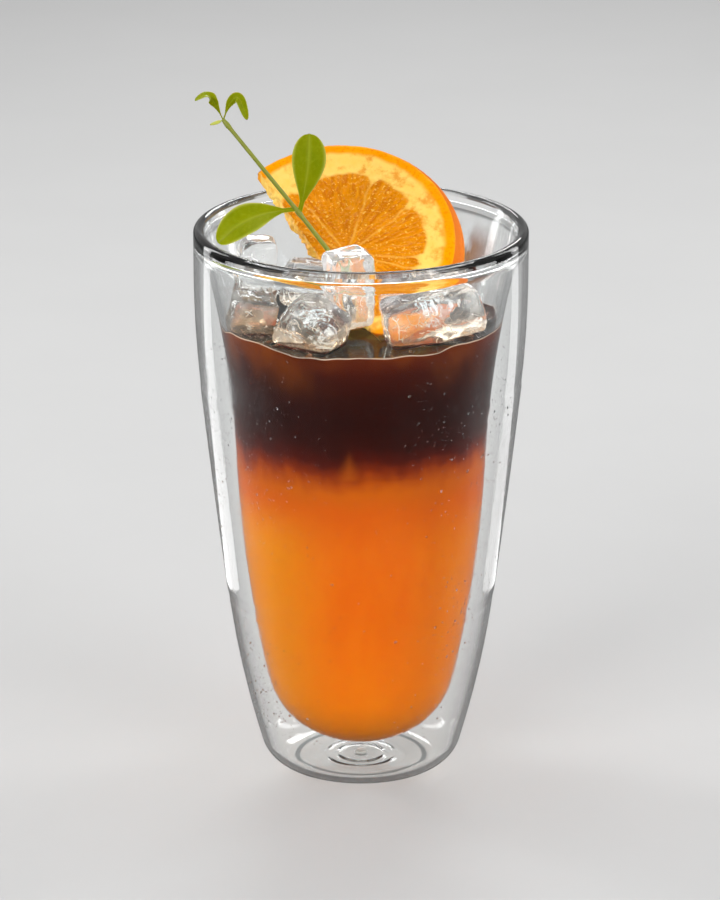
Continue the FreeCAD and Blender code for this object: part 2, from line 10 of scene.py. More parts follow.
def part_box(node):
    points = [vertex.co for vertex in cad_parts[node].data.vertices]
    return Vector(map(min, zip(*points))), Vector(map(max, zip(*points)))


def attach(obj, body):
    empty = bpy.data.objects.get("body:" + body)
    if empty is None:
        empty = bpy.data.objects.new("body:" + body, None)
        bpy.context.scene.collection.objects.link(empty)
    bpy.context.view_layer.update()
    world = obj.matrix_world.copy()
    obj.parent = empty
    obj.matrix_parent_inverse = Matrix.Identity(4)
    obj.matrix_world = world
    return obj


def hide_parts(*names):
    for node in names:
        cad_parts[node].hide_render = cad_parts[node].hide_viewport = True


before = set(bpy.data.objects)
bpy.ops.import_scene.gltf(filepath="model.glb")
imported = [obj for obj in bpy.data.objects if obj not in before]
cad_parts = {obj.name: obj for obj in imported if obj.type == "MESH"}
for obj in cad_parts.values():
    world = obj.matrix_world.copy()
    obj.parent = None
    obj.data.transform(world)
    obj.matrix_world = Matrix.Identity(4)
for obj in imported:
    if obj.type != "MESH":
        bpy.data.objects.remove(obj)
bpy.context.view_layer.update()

# ---------------------------------------------------------------- the glass
# A double-walled tumbler blown from clear borosilicate glass: a bowl hangs in an outer
# shell, the two are fused under the lip, and the air between them is sealed in.
# Its foot is pressed with two faint rings round the vent.
MM = 0.001
WALL = 1.5
RIM = 153.0
RIM_RADIUS = 45
SEAM = 150.0               # the air between the walls ends here
FOOT_FLAT = 18.3           # the radius at which the foot turns up
VENT_RADIUS = 1.65
PRESSED_RINGS = ((6.3, 0.22), (9.5, 0.16))      # radius and depth, in mm
RING_WIDTH = 0.75
# a wall's stretches from its start up: each arc's centre, its radius, which is below 0
# where the wall flares out, the (radius, height) where it ends, and its steps, in mm
BOWL_START = (0, 8.25)
BOWL_ARCS = (
    ((0, 35.75), 27.5, (14.9, 12.64), 22),
    ((3.5, 30.28), 21, (24.04, 25.78), 24),
    ((-337.2, 105.4), 370, (32.3, 88), 40),
    ((341.96, 73.4), -310, (42.05, 151.88), 40),
)
SHELL_START = (FOOT_FLAT, 0)
SHELL_ARCS = (
    ((FOOT_FLAT, 9.5), 9.5, (27.42, 6.83), 18),
    ((-237.1, 84.3), 275.6, (36.27, 49.1), 30),
    ((-2734.7, 405.8), 2794, (43.26, 108.4), 30),
    ((-261.3, 141), 306.3, (RIM_RADIUS, 141), 20),
)


def arc(centre, radius, start, end, steps):
    """Points on a circle, in mm, from one (radius, height) to another."""
    first = math.atan2(start[1] - centre[1], start[0] - centre[0])
    last = math.atan2(end[1] - centre[1], end[0] - centre[0])
    angles = [first + (last - first) * i / steps for i in range(steps + 1)]
    return [(centre[0] + radius * math.cos(a), centre[1] + radius * math.sin(a)) for a in angles]


def wall_section(start, arcs, grow):
    """A wall's section from its start up, grown outwards by some mm."""
    points = []
    for centre, radius, end, steps in arcs:
        stretch = arc(centre, abs(radius + grow), start, end, steps)
        points += stretch[1:] if points else stretch
        start = end
    return points


def bowl_section(grow):
    """The bowl's inside from its floor up to the lip, grown outwards by some mm."""
    return wall_section(BOWL_START, BOWL_ARCS, grow)


def shell_section(grow):
    """The outside from its foot corner up to the lip, grown outwards by some mm."""
    radius = RIM_RADIUS + grow
    return wall_section(SHELL_START, SHELL_ARCS, grow) + [(radius, 146.5), (radius, RIM - WALL)]


def pressed(radius):
    """How far the foot is pressed up at a radius, in mm."""
    return sum(
        depth * math.exp(-((radius - middle) / RING_WIDTH) ** 2) for middle, depth in PRESSED_RINGS
    )


def below(section, height):
    """The part of a section under a height, ending on it."""
    kept = [point for point in section if point[1] < height]
    following = section[len(kept)]
    share = (height - kept[-1][1]) / (following[1] - kept[-1][1])
    return kept + [(kept[-1][0] + (following[0] - kept[-1][0]) * share, height)]


def add_piece(name, vertices, faces, materials, finishes=None):
    """A smooth mesh object in the frame, which rides with the drink."""
    mesh = bpy.data.meshes.new(name)
    mesh.from_pydata([tuple(v) for v in vertices], [], faces)
    for material in materials:
        mesh.materials.append(material)
    if finishes is not None:
        mesh.polygons.foreach_set("material_index", finishes)
    mesh.shade_smooth()
    mesh.update()
    piece = bpy.data.objects.new(name, mesh)
    bpy.context.scene.collection.objects.link(piece)
    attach(piece, "root")
    return piece


def spin(name, runs, materials, turns=224):
    """A solid of revolution. Each run is a finish's number and its (radius, height) points."""
    outline = [runs[0][1][0]]
    run_finishes = []
    for finish, points in runs:
        outline += points[1:]
        run_finishes += [finish] * (len(points) - 1)
    vertices = []
    rings = []
    for radius, height in outline:
        count = turns if radius > 1e-6 else 1
        rings.append([len(vertices) + i for i in range(count)])
        for i in range(count):
            angle = 2 * math.pi * i / turns
            vertices.append((radius * math.cos(angle) * MM, radius * math.sin(angle) * MM, height * MM))
    faces = []
    finishes = []
    for low, high, finish in zip(rings, rings[1:], run_finishes):
        for i in range(turns):
            k = (i + 1) % turns
            if len(low) == 1:
                faces.append((low[0], high[k], high[i]))
            elif len(high) == 1:
                faces.append((low[i], low[k], high[0]))
            else:
                faces.append((low[i], low[k], high[k], high[i]))
            finishes.append(finish)
    return add_piece(name, vertices, faces, materials, finishes)


def srgb(red, green, blue):
    """A colour as painters' cards give it, 0 to 255, as the shader wants it."""
    def linear(value):
        share = value / 255
        return share / 12.92 if share <= 0.04045 else ((share + 0.055) / 1.055) ** 2.4
    return (linear(red), linear(green), linear(blue), 1)


def plug(material, socket, value):
    """Joins an output to a socket, or sets the socket's own value."""
    if isinstance(value, bpy.types.NodeSocket):
        material.node_tree.links.new(value, socket)
    else:
        socket.default_value = value


def add_node(material, kind, inputs, **settings):
    """A shader node with its settings, and its inputs' values or joins."""
    made = material.node_tree.nodes.new(kind)
    for name, value in settings.items():
        setattr(made, name, value)
    for name, value in inputs.items():
        plug(material, made.inputs[name], value)
    return made


def finish_of(name, **inputs):
    """A new material and its shader, with the shader's own values set."""
    material = bpy.data.materials.new(name)
    material.use_nodes = True
    shader = material.node_tree.nodes["Principled BSDF"]
    for key, value in inputs.items():
        plug(material, shader.inputs[key.replace("_", " ")], value)
    return material, shader


def spot(material, stretch=(1, 1, 1)):
    """Where a point of the surface is, stretched along each axis."""
    where = add_node(material, "ShaderNodeTexCoord", {})
    stretched = add_node(
        material, "ShaderNodeMapping", {"Vector": where.outputs["Object"], "Scale": stretch}
    )
    return stretched.outputs["Vector"]


def how_far(material, axis):
    """How far along an axis a point of the surface lies, in metres."""
    return add_node(material, "ShaderNodeSeparateXYZ", {"Vector": spot(material)}).outputs[axis]


def mottle(material, size_mm, detail=3, stretch=(1, 1, 1), rough=0.55):
    """Soft cloudy noise of about that size, from 0 to 1."""
    made = add_node(material, "ShaderNodeTexNoise", {
        "Vector": spot(material, stretch),
        "Scale": 1000 / size_mm,
        "Detail": detail,
        "Roughness": rough,
    })
    return made.outputs["Fac"]


def spread(material, value, low, high, to_low=0, to_high=1):
    """A value eased from one range into another, and held at its ends."""
    made = add_node(
        material,
        "ShaderNodeMapRange",
        {"Value": value, "From Min": low, "From Max": high, "To Min": to_low, "To Max": to_high},
        interpolation_type="SMOOTHSTEP",
    )
    return made.outputs["Result"]


def sums(material, operation, first, second):
    """One sum on two values."""
    return add_node(material, "ShaderNodeMath", {0: first, 1: second}, operation=operation).outputs[0]


def times(material, value, *others):
    """Several values multiplied together."""
    for other in others:
        value = sums(material, "MULTIPLY", value, other)
    return value


def blend_colours(material, share, first, second):
    """The first colour turning into the second."""
    made = add_node(
        material, "ShaderNodeMix", {0: share, 6: first, 7: second}, data_type="RGBA", blend_type="MIX"
    )
    return made.outputs[2]


def layered(material, colour, *layers):
    """A colour with others laid over it, each by its share."""
    for share, over in layers:
        colour = blend_colours(material, share, colour, over)
    return colour


def raise_surface(material, shader, height, depth_mm, strength=1.0):
    """Fine relief on a surface, too small to be worth its own mesh."""
    made = add_node(
        material, "ShaderNodeBump", {"Height": height, "Distance": depth_mm * MM, "Strength": strength}
    )
    plug(material, shader.inputs["Normal"], made.outputs["Normal"])


def mix_finishes(material, share, first, second):
    """One shader turning into another."""
    return add_node(material, "ShaderNodeMixShader", {0: share, 1: first, 2: second}).outputs["Shader"]


def let_light_in(material, surface, tint):
    """Shadow rays pass a clear piece, tinted, so that light reaches what it holds."""
    path = add_node(material, "ShaderNodeLightPath", {})
    clear = add_node(material, "ShaderNodeBsdfTransparent", {"Color": tint}).outputs["BSDF"]
    mixed = mix_finishes(material, path.outputs["Is Shadow Ray"], surface, clear)
    plug(material, material.node_tree.nodes["Material Output"].inputs["Surface"], mixed)


SOFT_MIRROR = (0.2, 0.2, 0.2, 1)     # bloomed, so that it mirrors less face on
GLASS_SHADOW = (0.94, 0.95, 0.95, 1)
GLASS = {"IOR": 1.47, "Base_Color": (0.985, 0.992, 0.99, 1)}
SEE_THROUGH = {"Transmission_Weight": 1.0, "Roughness": 0.0}
clear_glass, shader = finish_of("clear_borosilicate", Specular_Tint=SOFT_MIRROR, **GLASS, **SEE_THROUGH)
let_light_in(clear_glass, shader.outputs["BSDF"], GLASS_SHADOW)

# the outside, dulled by a breath of mist between the lip and the foot
misted_glass, shader = finish_of("misted_borosilicate", Specular_Tint=SOFT_MIRROR, **GLASS)
over_foot = spread(misted_glass, how_far(misted_glass, "Z"), 0.010, 0.032)
under_lip = spread(misted_glass, how_far(misted_glass, "Z"), 0.134, 0.112)
from_middle = sums(misted_glass, "ABSOLUTE", how_far(misted_glass, "X"), 0)
at_sides = spread(misted_glass, from_middle, 0.014, 0.034, 0.25, 1)
patches = spread(misted_glass, mottle(misted_glass, 22, 4, (1, 1, 0.45)), 0.36, 0.68)
specks = spread(misted_glass, mottle(misted_glass, 0.9, 2), 0.35, 0.75, 0.45, 1)
mist = times(misted_glass, over_foot, under_lip, patches, specks, at_sides)
plug(misted_glass, shader.inputs["Roughness"], times(misted_glass, mist, 0.22))
plug(misted_glass, shader.inputs["Transmission Weight"], spread(misted_glass, mist, 0, 1, 1, 0.965))
raise_surface(misted_glass, shader, times(misted_glass, mottle(misted_glass, 0.7, 2), mist), 0.05, 0.5)
let_light_in(misted_glass, shader.outputs["BSDF"], GLASS_SHADOW)

# the bowl's inside, with a thin brown film of coffee left above its level at the back
filmed_glass, shader = finish_of(
    "coffee_filmed_borosilicate", Specular_Tint=SOFT_MIRROR, **GLASS, **SEE_THROUGH
)
behind = spread(filmed_glass, how_far(filmed_glass, "Y"), 0.004, 0.026)
to_right = spread(filmed_glass, how_far(filmed_glass, "X"), 0.004, 0.024)
low_on_wall = spread(filmed_glass, how_far(filmed_glass, "Z"), 0.1495, 0.140)
streaks = spread(filmed_glass, mottle(filmed_glass, 11, 4, (1, 1, 0.6)), 0.36, 0.52)
film = times(filmed_glass, behind, to_right, low_on_wall, streaks)
filmed_colour = layered(filmed_glass, GLASS["Base_Color"], (film, srgb(138, 76, 38)))
plug(filmed_glass, shader.inputs["Base Color"], filmed_colour)
let_light_in(filmed_glass, shader.outputs["BSDF"], GLASS_SHADOW)

# the lip, flamed round: it shines, and bends the view only a little
flamed_lip, shader = finish_of("flamed_lip", **GLASS, **SEE_THROUGH)
shine = add_node(flamed_lip, "ShaderNodeBsdfGlossy", {"Roughness": 0.02}).outputs["BSDF"]
view = add_node(flamed_lip, "ShaderNodeBsdfTransparent", {"Color": (0.96, 0.97, 0.97, 1)})
at_edge = add_node(flamed_lip, "ShaderNodeFresnel", {"IOR": 1.5}).outputs["Fac"]
polished = mix_finishes(flamed_lip, at_edge, view.outputs["BSDF"], shine)
lip_surface = mix_finishes(flamed_lip, 0.8, shader.outputs["BSDF"], polished)
let_light_in(flamed_lip, lip_surface, GLASS_SHADOW)

inner_foot = [(radius, WALL + pressed(radius)) for radius in np.linspace(FOOT_FLAT, VENT_RADIUS, 48)]
under_foot = [(radius, pressed(radius)) for radius in np.linspace(VENT_RADIUS, FOOT_FLAT, 48)]
gap_outside = below(shell_section(-WALL), SEAM)
gap_inside = below(bowl_section(WALL), SEAM)
bowl_inside = bowl_section(0)
lip_middle = (RIM_RADIUS - WALL, RIM - WALL)
lip_top = (RIM_RADIUS - WALL, RIM)
lip = arc(lip_middle, WALL, (RIM_RADIUS, RIM - WALL), lip_top, 10)
lip += arc(lip_middle, WALL, lip_top, bowl_inside[-1], 10)[1:]
outside = shell_section(0)
MISTED, CLEAR, FILMED, FLAMED = 0, 1, 2, 3
glass = spin(
    "glass_tumbler",
    [
        (CLEAR, gap_inside),
        (CLEAR, [gap_inside[-1]] + gap_outside[::-1]),
        (CLEAR, [gap_outside[0]] + inner_foot[1:]),
        (CLEAR, [inner_foot[-1], under_foot[0]]),
        (CLEAR, under_foot),
        (MISTED, outside),
        (FLAMED, lip),
        (FILMED, bowl_inside[::-1]),
    ],
    [misted_glass, clear_glass, filmed_glass, flamed_lip],
)
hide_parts("glass")

# ---------------------------------------------------------------- the seal
# A small button of clear silicone, pressed into the vent once the air between the walls
# is dry. It keeps its own solid and gets a rubbery finish with a few specks.
seal_rubber, shader = finish_of("clear_silicone", Roughness=0.35, IOR=1.41, Transmission_Weight=0.6)
specked = layered(seal_rubber, srgb(214, 214, 208), (mottle(seal_rubber, 0.8), srgb(236, 236, 232)))
plug(seal_rubber, shader.inputs["Base Color"], specked)
raise_surface(seal_rubber, shader, mottle(seal_rubber, 0.5), 0.03)
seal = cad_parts["vent_seal"]
seal.data.materials.clear()
seal.data.materials.append(seal_rubber)

# ---------------------------------------------------------------- the juice
# Cloudy orange juice fills the bowl's lower part. It is poured first, and it darkens
# where coffee has begun to sink into its top.
INTO_WALL = 0.3            # a drink reaches this far into the glass, so no air shows
COFFEE_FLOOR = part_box("juice")[1].z / MM
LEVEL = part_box("coffee")[1].z / MM
# the drink's colours by height; the last stops lighten the coffee towards its skin, painted light where
# light comes in through the skin and the ice
DRINK_COLOURS = (
    (8, srgb(242, 146, 6)),
    (24, srgb(236, 126, 3)),
    (45, srgb(228, 112, 2)),
    (68, srgb(219, 102, 1)),
    (82.5, srgb(206, 92, 1)),
    (88.5, srgb(196, 94, 1)),
    (92, srgb(168, 70, 3)),
    (94.5, srgb(124, 40, 4)),
    (97.5, srgb(76, 15, 3)),
    (101.5, srgb(50, 7, 1)),
    (108, srgb(42, 5, 1)),
    (116, srgb(46, 7, 1)),
    (122, srgb(62, 14, 3)),
    (127, srgb(88, 30, 8)),
)


def drink_colour(material):
    """The drink's colour by height, with a ragged and smoky border between its layers."""
    height_mm = times(material, how_far(material, "Z"), 1 / MM)
    slow = sums(material, "MULTIPLY_ADD", mottle(material, 16, 2), 9)
    slow.node.inputs[2].default_value = -4.5
    quick = sums(material, "MULTIPLY_ADD", mottle(material, 4.5, 4, (1, 1, 0.5), 0.6), 5)
    quick.node.inputs[2].default_value = -2.5
    near = times(material, spread(material, height_mm, 74, 88), spread(material, height_mm, 112, 98))
    drift = times(material, sums(material, "ADD", slow, quick), near)
    share = sums(material, "DIVIDE", sums(material, "ADD", height_mm, drift), LEVEL)
    made = add_node(material, "ShaderNodeValToRGB", {"Fac": share})
    stops = [(height / LEVEL, colour) for height, colour in DRINK_COLOURS]
    bar = made.color_ramp.elements
    bar[0].position, bar[0].color = stops[0]
    bar[1].position, bar[1].color = stops[-1]
    for place, colour in stops[1:-1]:
        bar.new(place).color = colour
    return made.outputs["Color"]


def to_level(section, low, high):
    """The part of a wall's section between two heights, ending on both."""
    upper = below(section, high)
    kept = [point for point in upper if point[1] > low]
    before = upper[len(upper) - len(kept) - 1]
    share = (low - before[1]) / (kept[0][1] - before[1])
    return [(before[0] + (kept[0][0] - before[0]) * share, low)] + kept


juice_finish, shader = finish_of(
    "cloudy_juice",
    Roughness=0.5,
    Subsurface_Scale=0.004,
    Subsurface_Radius=(1.0, 0.45, 0.1),
    Specular_IOR_Level=0.05,
)
under_border = spread(juice_finish, how_far(juice_finish, "Z"), 0.087, 0.068)
plug(juice_finish, shader.inputs["Subsurface Weight"], times(juice_finish, under_border, 0.2))
pulp = spread(juice_finish, mottle(juice_finish, 7, 4, (1, 1, 0.35)), 0.3, 0.75, 0, 0.2)
pulp = times(juice_finish, pulp, under_border)
# painted light: the juice is laid paler and yellower towards its left, where the main lamp falls, and
# towards its right edge, where light passes through less of it
painted_light_left = spread(juice_finish, how_far(juice_finish, "X"), -0.004, -0.026, 0, 0.8)
painted_light_right = spread(juice_finish, how_far(juice_finish, "X"), 0.010, 0.030, 0, 0.4)
painted_side_light = times(juice_finish, sums(juice_finish, "ADD", painted_light_left, painted_light_right), under_border)
juice_colour = layered(
    juice_finish,
    drink_colour(juice_finish),
    (pulp, srgb(246, 150, 20)),
    (painted_side_light, srgb(226, 146, 2)),
)
plug(juice_finish, shader.inputs["Base Color"], juice_colour)
raise_surface(juice_finish, shader, mottle(juice_finish, 1.2), 0.05, 0.4)

drink_side = bowl_section(INTO_WALL)
juice_wall = below(drink_side, COFFEE_FLOOR - 0.03) + below(drink_side, COFFEE_FLOOR)[-1:]
juice_top = [juice_wall[-1], (20, COFFEE_FLOOR), (0, COFFEE_FLOOR)]
juice = spin("orange_juice", [(0, juice_wall), (0, juice_top)], [juice_finish])
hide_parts("juice")

# ---------------------------------------------------------------- the ice
# Clear ice, cast in hollow-sided blocks. It has begun to melt, so its edges are soft, its
# faces are dimpled, and fine cracks and trapped bubbles run through it.
ICE_NAMES = sorted(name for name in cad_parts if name.startswith("ice_"))
ICE_GRAIN = 0.42           # mm between the points of a melted face
DIMPLES = (7.5, 0.60)      # size and depth of the dimples that melting leaves, in mm
WAVES = (9.0, 0.40)
RIPPLES = (2.2, 0.07)
random_source = random.Random(11)

ice_finish, shader = finish_of("melting_ice", IOR=1.42)
in_coffee = spread(ice_finish, how_far(ice_finish, "Z"), 0.139, 0.127)
ice_colour = layered(ice_finish, (0.97, 0.972, 0.97, 1), (in_coffee, (0.84, 0.64, 0.44, 1)))
plug(ice_finish, shader.inputs["Base Color"], ice_colour)
wander = add_node(
    ice_finish, "ShaderNodeTexNoise", {"Vector": spot(ice_finish), "Scale": 220, "Detail": 2}
).outputs["Color"]
wander = add_node(
    ice_finish, "ShaderNodeVectorMath", {0: wander, 1: (0.004, 0.004, 0.004)}, operation="MULTIPLY"
).outputs["Vector"]
strayed = add_node(
    ice_finish, "ShaderNodeVectorMath", {0: spot(ice_finish), 1: wander}, operation="ADD"
).outputs["Vector"]
seams = add_node(
    ice_finish, "ShaderNodeTexVoronoi", {"Vector": strayed, "Scale": 210}, feature="DISTANCE_TO_EDGE"
).outputs["Distance"]
in_places = spread(ice_finish, mottle(ice_finish, 5, 3), 0.50, 0.62)
hairlines = times(ice_finish, spread(ice_finish, seams, 0.035, 0.012), in_places)
clouded = spread(ice_finish, mottle(ice_finish, 6, 4), 0.42, 0.72, 0.08, 0.32)
white_share = sums(ice_finish, "MAXIMUM", clouded, times(ice_finish, hairlines, 0.75))
plug(ice_finish, shader.inputs["Transmission Weight"], sums(ice_finish, "SUBTRACT", 1, white_share))
plug(ice_finish, shader.inputs["Roughness"], spread(ice_finish, white_share, 0.05, 0.6, 0.01, 0.4))
raise_surface(ice_finish, shader, mottle(ice_finish, 1.6, 2), 0.08, 0.4)
let_light_in(ice_finish, shader.outputs["BSDF"], (0.93, 0.95, 0.96, 1))

crack_finish, shader = finish_of("cracked_ice", Roughness=0.25, IOR=1.31, Base_Color=(0.9, 0.93, 0.95, 1))
threads = spread(crack_finish, mottle(crack_finish, 1.0, 5, (1, 1, 1), 0.7), 0.44, 0.62, 0.0, 0.8)
plug(crack_finish, shader.inputs["Alpha"], threads)


def rough_place(point, size_mm, seed):
    """Cloudy noise at a point, from -1 to 1."""
    scaled = Vector(point) / (size_mm * MM) + Vector((seed, seed * 0.7, -seed))
    return noise.noise(scaled)


def melt(name, seed):
    """A node's block with an even grid of points, softened and dimpled."""
    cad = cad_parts[name]
    block = bpy.data.objects.new(name + "_melted", cad.data.copy())
    bpy.context.scene.collection.objects.link(block)
    even = block.modifiers.new("even", "REMESH")
    even.mode = "VOXEL"
    even.voxel_size = ICE_GRAIN * MM
    soften = block.modifiers.new("soften", "SMOOTH")
    soften.factor = 0.5
    soften.iterations = 5
    settled = block.evaluated_get(bpy.context.evaluated_depsgraph_get())
    mesh = bpy.data.meshes.new_from_object(settled)
    block.modifiers.clear()
    block.data = mesh
    for vertex in mesh.vertices:
        nearest = noise.voronoi(vertex.co / (DIMPLES[0] * MM) + Vector((seed, seed, seed)))[0][0]
        dimple = -DIMPLES[1] * (1 - min(nearest / 0.62, 1) ** 2)
        wave = rough_place(vertex.co, WAVES[0], seed) * WAVES[1]
        ripple = rough_place(vertex.co, RIPPLES[0], seed + 5) * RIPPLES[1]
        vertex.co = vertex.co + vertex.normal * ((dimple + wave + ripple + 0.1) * MM)
    mesh.materials.clear()
    mesh.materials.append(ice_finish)
    mesh.shade_smooth()
    mesh.update()
    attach(block, "root")
    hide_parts(name)
    return block


def dome(centre, radius, squash, sides, rows):
    """A small closed blob, flattened along its height."""
    vertices = [centre + Vector((0, 0, -radius * squash))]
    for row in range(1, rows):
        tilt = math.pi * row / rows
        for side in range(sides):
            angle = 2 * math.pi * side / sides
            vertices.append(centre + Vector((
                radius * math.sin(tilt) * math.cos(angle),
                radius * math.sin(tilt) * math.sin(angle),
                -radius * math.cos(tilt) * squash,
            )))
    vertices.append(centre + Vector((0, 0, radius * squash)))
    faces = []
    for side in range(sides):
        other = (side + 1) % sides
        faces.append((0, 1 + other, 1 + side))
        for row in range(rows - 2):
            first = 1 + row * sides
            faces.append((first + side, first + other, first + sides + other, first + sides + side))
        last = 1 + (rows - 2) * sides
        faces.append((last + side, last + other, len(vertices) - 1))
    return vertices, faces


def add_to(many_vertices, many_faces, vertices, faces):
    """Adds one small mesh's points and faces to those of many."""
    offset = len(many_vertices)
    many_vertices.extend(vertices)
    many_faces.extend(tuple(corner + offset for corner in face) for face in faces)


def crack_sheet(centre, reach, seed):
    """A thin curved break inside a block, as a ragged leaf of points."""
    turn = Matrix.Rotation(seed * 1.7, 3, "Z") @ Matrix.Rotation(seed * 0.9, 3, "X")
    steps = 12
    vertices = []
    faces = []
    for row in range(steps + 1):
        for column in range(steps + 1):
            across = (column / steps - 0.5) * 2
            along = (row / steps - 0.5) * 2
            size = 1 + 0.25 * noise.noise(Vector((across, along, seed)))
            flat = Vector((across * size, along * size * 0.55, 0.16 * across * across))
            flat.z += 0.12 * noise.noise(Vector((across * 1.5, along * 1.5, seed + 3)))
            vertices.append(Vector(centre) + turn @ (flat * reach))
    for row in range(steps):
        for column in range(steps):
            across = (column + 0.5) / steps * 2 - 1
            along = (row + 0.5) / steps * 2 - 1
            if across * across + along * along < 0.9:
                first = row * (steps + 1) + column
                faces.append((first, first + 1, first + steps + 2, first + steps + 1))
    return vertices, faces


trapped_air, shader = finish_of("air_in_ice", IOR=0.763, **SEE_THROUGH)
raise_surface(trapped_air, shader, mottle(trapped_air, 0.5), 0.01, 0.2)
let_light_in(trapped_air, shader.outputs["BSDF"], (0.95, 0.96, 0.97, 1))
AIR_SPOTS = 9              # bubbles in each block
CRACKS = 3                 # breaks in each block

ice_blocks = {}
crack_vertices = []
crack_faces = []
air_vertices = []
air_faces = []
for number, name in enumerate(ICE_NAMES):
    ice_blocks[name] = melt(name, number * 3.1)
    low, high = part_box(name)
    middle = (low + high) / 2
    reach = min(high - low) * 0.3
    for turn in range(CRACKS):
        shift = Vector([random_source.uniform(-0.5, 0.5) for axis in range(3)]) * reach
        sheet = crack_sheet(middle + shift, reach * 0.75, number * 2.3 + turn * 1.9)
        add_to(crack_vertices, crack_faces, *sheet)
    for bubble in range(AIR_SPOTS):
        shift = Vector([random_source.gauss(0, 0.42) for axis in range(3)])
        if shift.length > 1:
            continue
        radius = min(0.42, 0.13 * math.exp(random_source.gauss(0, 0.5))) * MM
        add_to(air_vertices, air_faces, *dome(middle + shift * reach, radius, 1.0, 8, 6))
cracks = add_piece("ice_cracks", crack_vertices, crack_faces, [crack_finish])
air = add_piece("ice_bubbles", air_vertices, air_faces, [trapped_air])

# ---------------------------------------------------------------- the coffee
# Cold black coffee, poured slowly over the ice so that it floats on the juice. Its skin
# climbs a little where it meets the glass and the ice.
CLIMB = 0.9                # mm up the wall, and up each block of ice
CLIMB_REACH = 1.1
SWELL = 0.16
WALL_SWELL = 1.3           # the ice crowds the skin up and down the wall
TOP_RINGS = 90
PLUME_X = -0.0031          # where a little juice has risen into the coffee, in metres
PLUME_HALF = 0.0042


def mask(material, name):
    """A share stored on the mesh's points."""
    return add_node(material, "ShaderNodeAttribute", {}, attribute_name=name).outputs["Fac"]


coffee_side, shader = finish_of("dark_coffee", Roughness=0.4, Specular_IOR_Level=0.05)
coffee_height = how_far(coffee_side, "Z")
# painted light: amber patches in the coffee's upper part, where light comes down through the ice and the
# skin
painted_glow_patches = spread(coffee_side, mottle(coffee_side, 14, 2, (1, 1, 0.6)), 0.36, 0.70, 0, 0.6)
painted_glow = times(coffee_side, painted_glow_patches, spread(coffee_side, coffee_height, 0.112, 0.126))
from_plume = sums(coffee_side, "ADD", how_far(coffee_side, "X"), -PLUME_X)
from_plume = sums(coffee_side, "ABSOLUTE", from_plume, 0)
widening = times(coffee_side, spread(coffee_side, coffee_height, 0.104, 0.093), PLUME_HALF)
plume = spread(coffee_side, sums(coffee_side, "SUBTRACT", widening, from_plume), 0, PLUME_HALF, 0, 0.5)
plume = times(coffee_side, plume, spread(coffee_side, how_far(coffee_side, "Y"), -0.010, -0.020))
# painted highlight: a pale line along the top ring of the coffee's wall, where the meniscus would catch
# the light
painted_meniscus_highlight = spread(coffee_side, mask(coffee_side, "painted_highlight_line"), 0.25, 0.75, 0, 0.75)
coffee_colour = layered(
    coffee_side,
    drink_colour(coffee_side),
    (painted_glow, srgb(132, 64, 8)),
    (plume, srgb(184, 88, 8)),
    (painted_meniscus_highlight, srgb(216, 190, 166)),
)
plug(coffee_side, shader.inputs["Base Color"], coffee_colour)
raise_surface(coffee_side, shader, mottle(coffee_side, 2.2), 0.04, 0.3)

coffee_top, shader = finish_of(
    "coffee_skin",
    Roughness=0.03,
    IOR=1.24,
    Transmission_Weight=1.0,
    Base_Color=(1, 0.93, 0.82, 1),
    Specular_Tint=(0.5, 0.36, 0.24, 1),
)
let_light_in(coffee_top, shader.outputs["BSDF"], (0.6, 0.4, 0.25, 1))
soak = add_node(
    coffee_top, "ShaderNodeVolumeAbsorption", {"Color": (0.82, 0.33, 0.02, 1), "Density": 1800}
)
coffee_output = coffee_top.node_tree.nodes["Material Output"]
plug(coffee_top, coffee_output.inputs["Volume"], soak.outputs["Volume"])

coffee_wall = to_level(drink_side, COFFEE_FLOOR - 0.2, LEVEL + CLIMB)
coffee_wall[1:1] = to_level(drink_side, COFFEE_FLOOR - 0.17, LEVEL)[:1]
coffee_wall[-1:-1] = below(coffee_wall, LEVEL + CLIMB - 0.5)[-1:]
edge = coffee_wall[-1][0]
surface = [(edge * (1 - i / TOP_RINGS), LEVEL) for i in range(TOP_RINGS + 1)]
surface[0] = coffee_wall[-1]
coffee = spin(
    "black_coffee",
    [
        (0, [(0, COFFEE_FLOOR - 0.2), (20, COFFEE_FLOOR - 0.2), coffee_wall[0]]),
        (0, coffee_wall),
        (1, surface),
    ],
    [coffee_side, coffee_top],
)
# the top ring of the wall, which carries the painted highlight
highlight_line_points = [vertex.co.z / MM > LEVEL + CLIMB - 0.01 for vertex in coffee.data.vertices]
wet_things = []
for name in ICE_NAMES:
    block = ice_blocks[name].data
    corners = [vertex.co for vertex in block.vertices]
    wet_things.append(BVHTree.FromPolygons(corners, [face.vertices[:] for face in block.polygons]))
for vertex in coffee.data.vertices:
    if vertex.co.z / MM < LEVEL - 0.01:
        continue
    radius = math.hypot(vertex.co.x, vertex.co.y) / MM
    below_edge = min(0.0, vertex.co.z / MM - LEVEL - CLIMB) if radius > edge - 0.15 else 0.0
    rise = CLIMB * math.exp(-(edge - radius) / CLIMB_REACH) + below_edge
    wave = rough_place(vertex.co, 12, 2.0) + 0.35 * rough_place(vertex.co, 5, 7.0)
    rise += wave * (SWELL + WALL_SWELL * math.exp(-(edge - radius) / 2.5))
    if radius < edge - 0.4:
        nearest = min(tree.find_nearest(vertex.co)[3] for tree in wet_things) / MM
        rise += CLIMB * 0.7 * math.exp(-nearest / (CLIMB_REACH * 0.8))
    vertex.co.z = (LEVEL + rise) * MM


def store(piece, name, values):
    """Keeps a share for each of a piece's points, for its finish to read."""
    stored = piece.data.attributes.new(name, "FLOAT", "POINT")
    stored.data.foreach_set("value", values)


store(coffee, "painted_highlight_line", [float(on_edge) for on_edge in highlight_line_points])
coffee.data.update()
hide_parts("coffee")

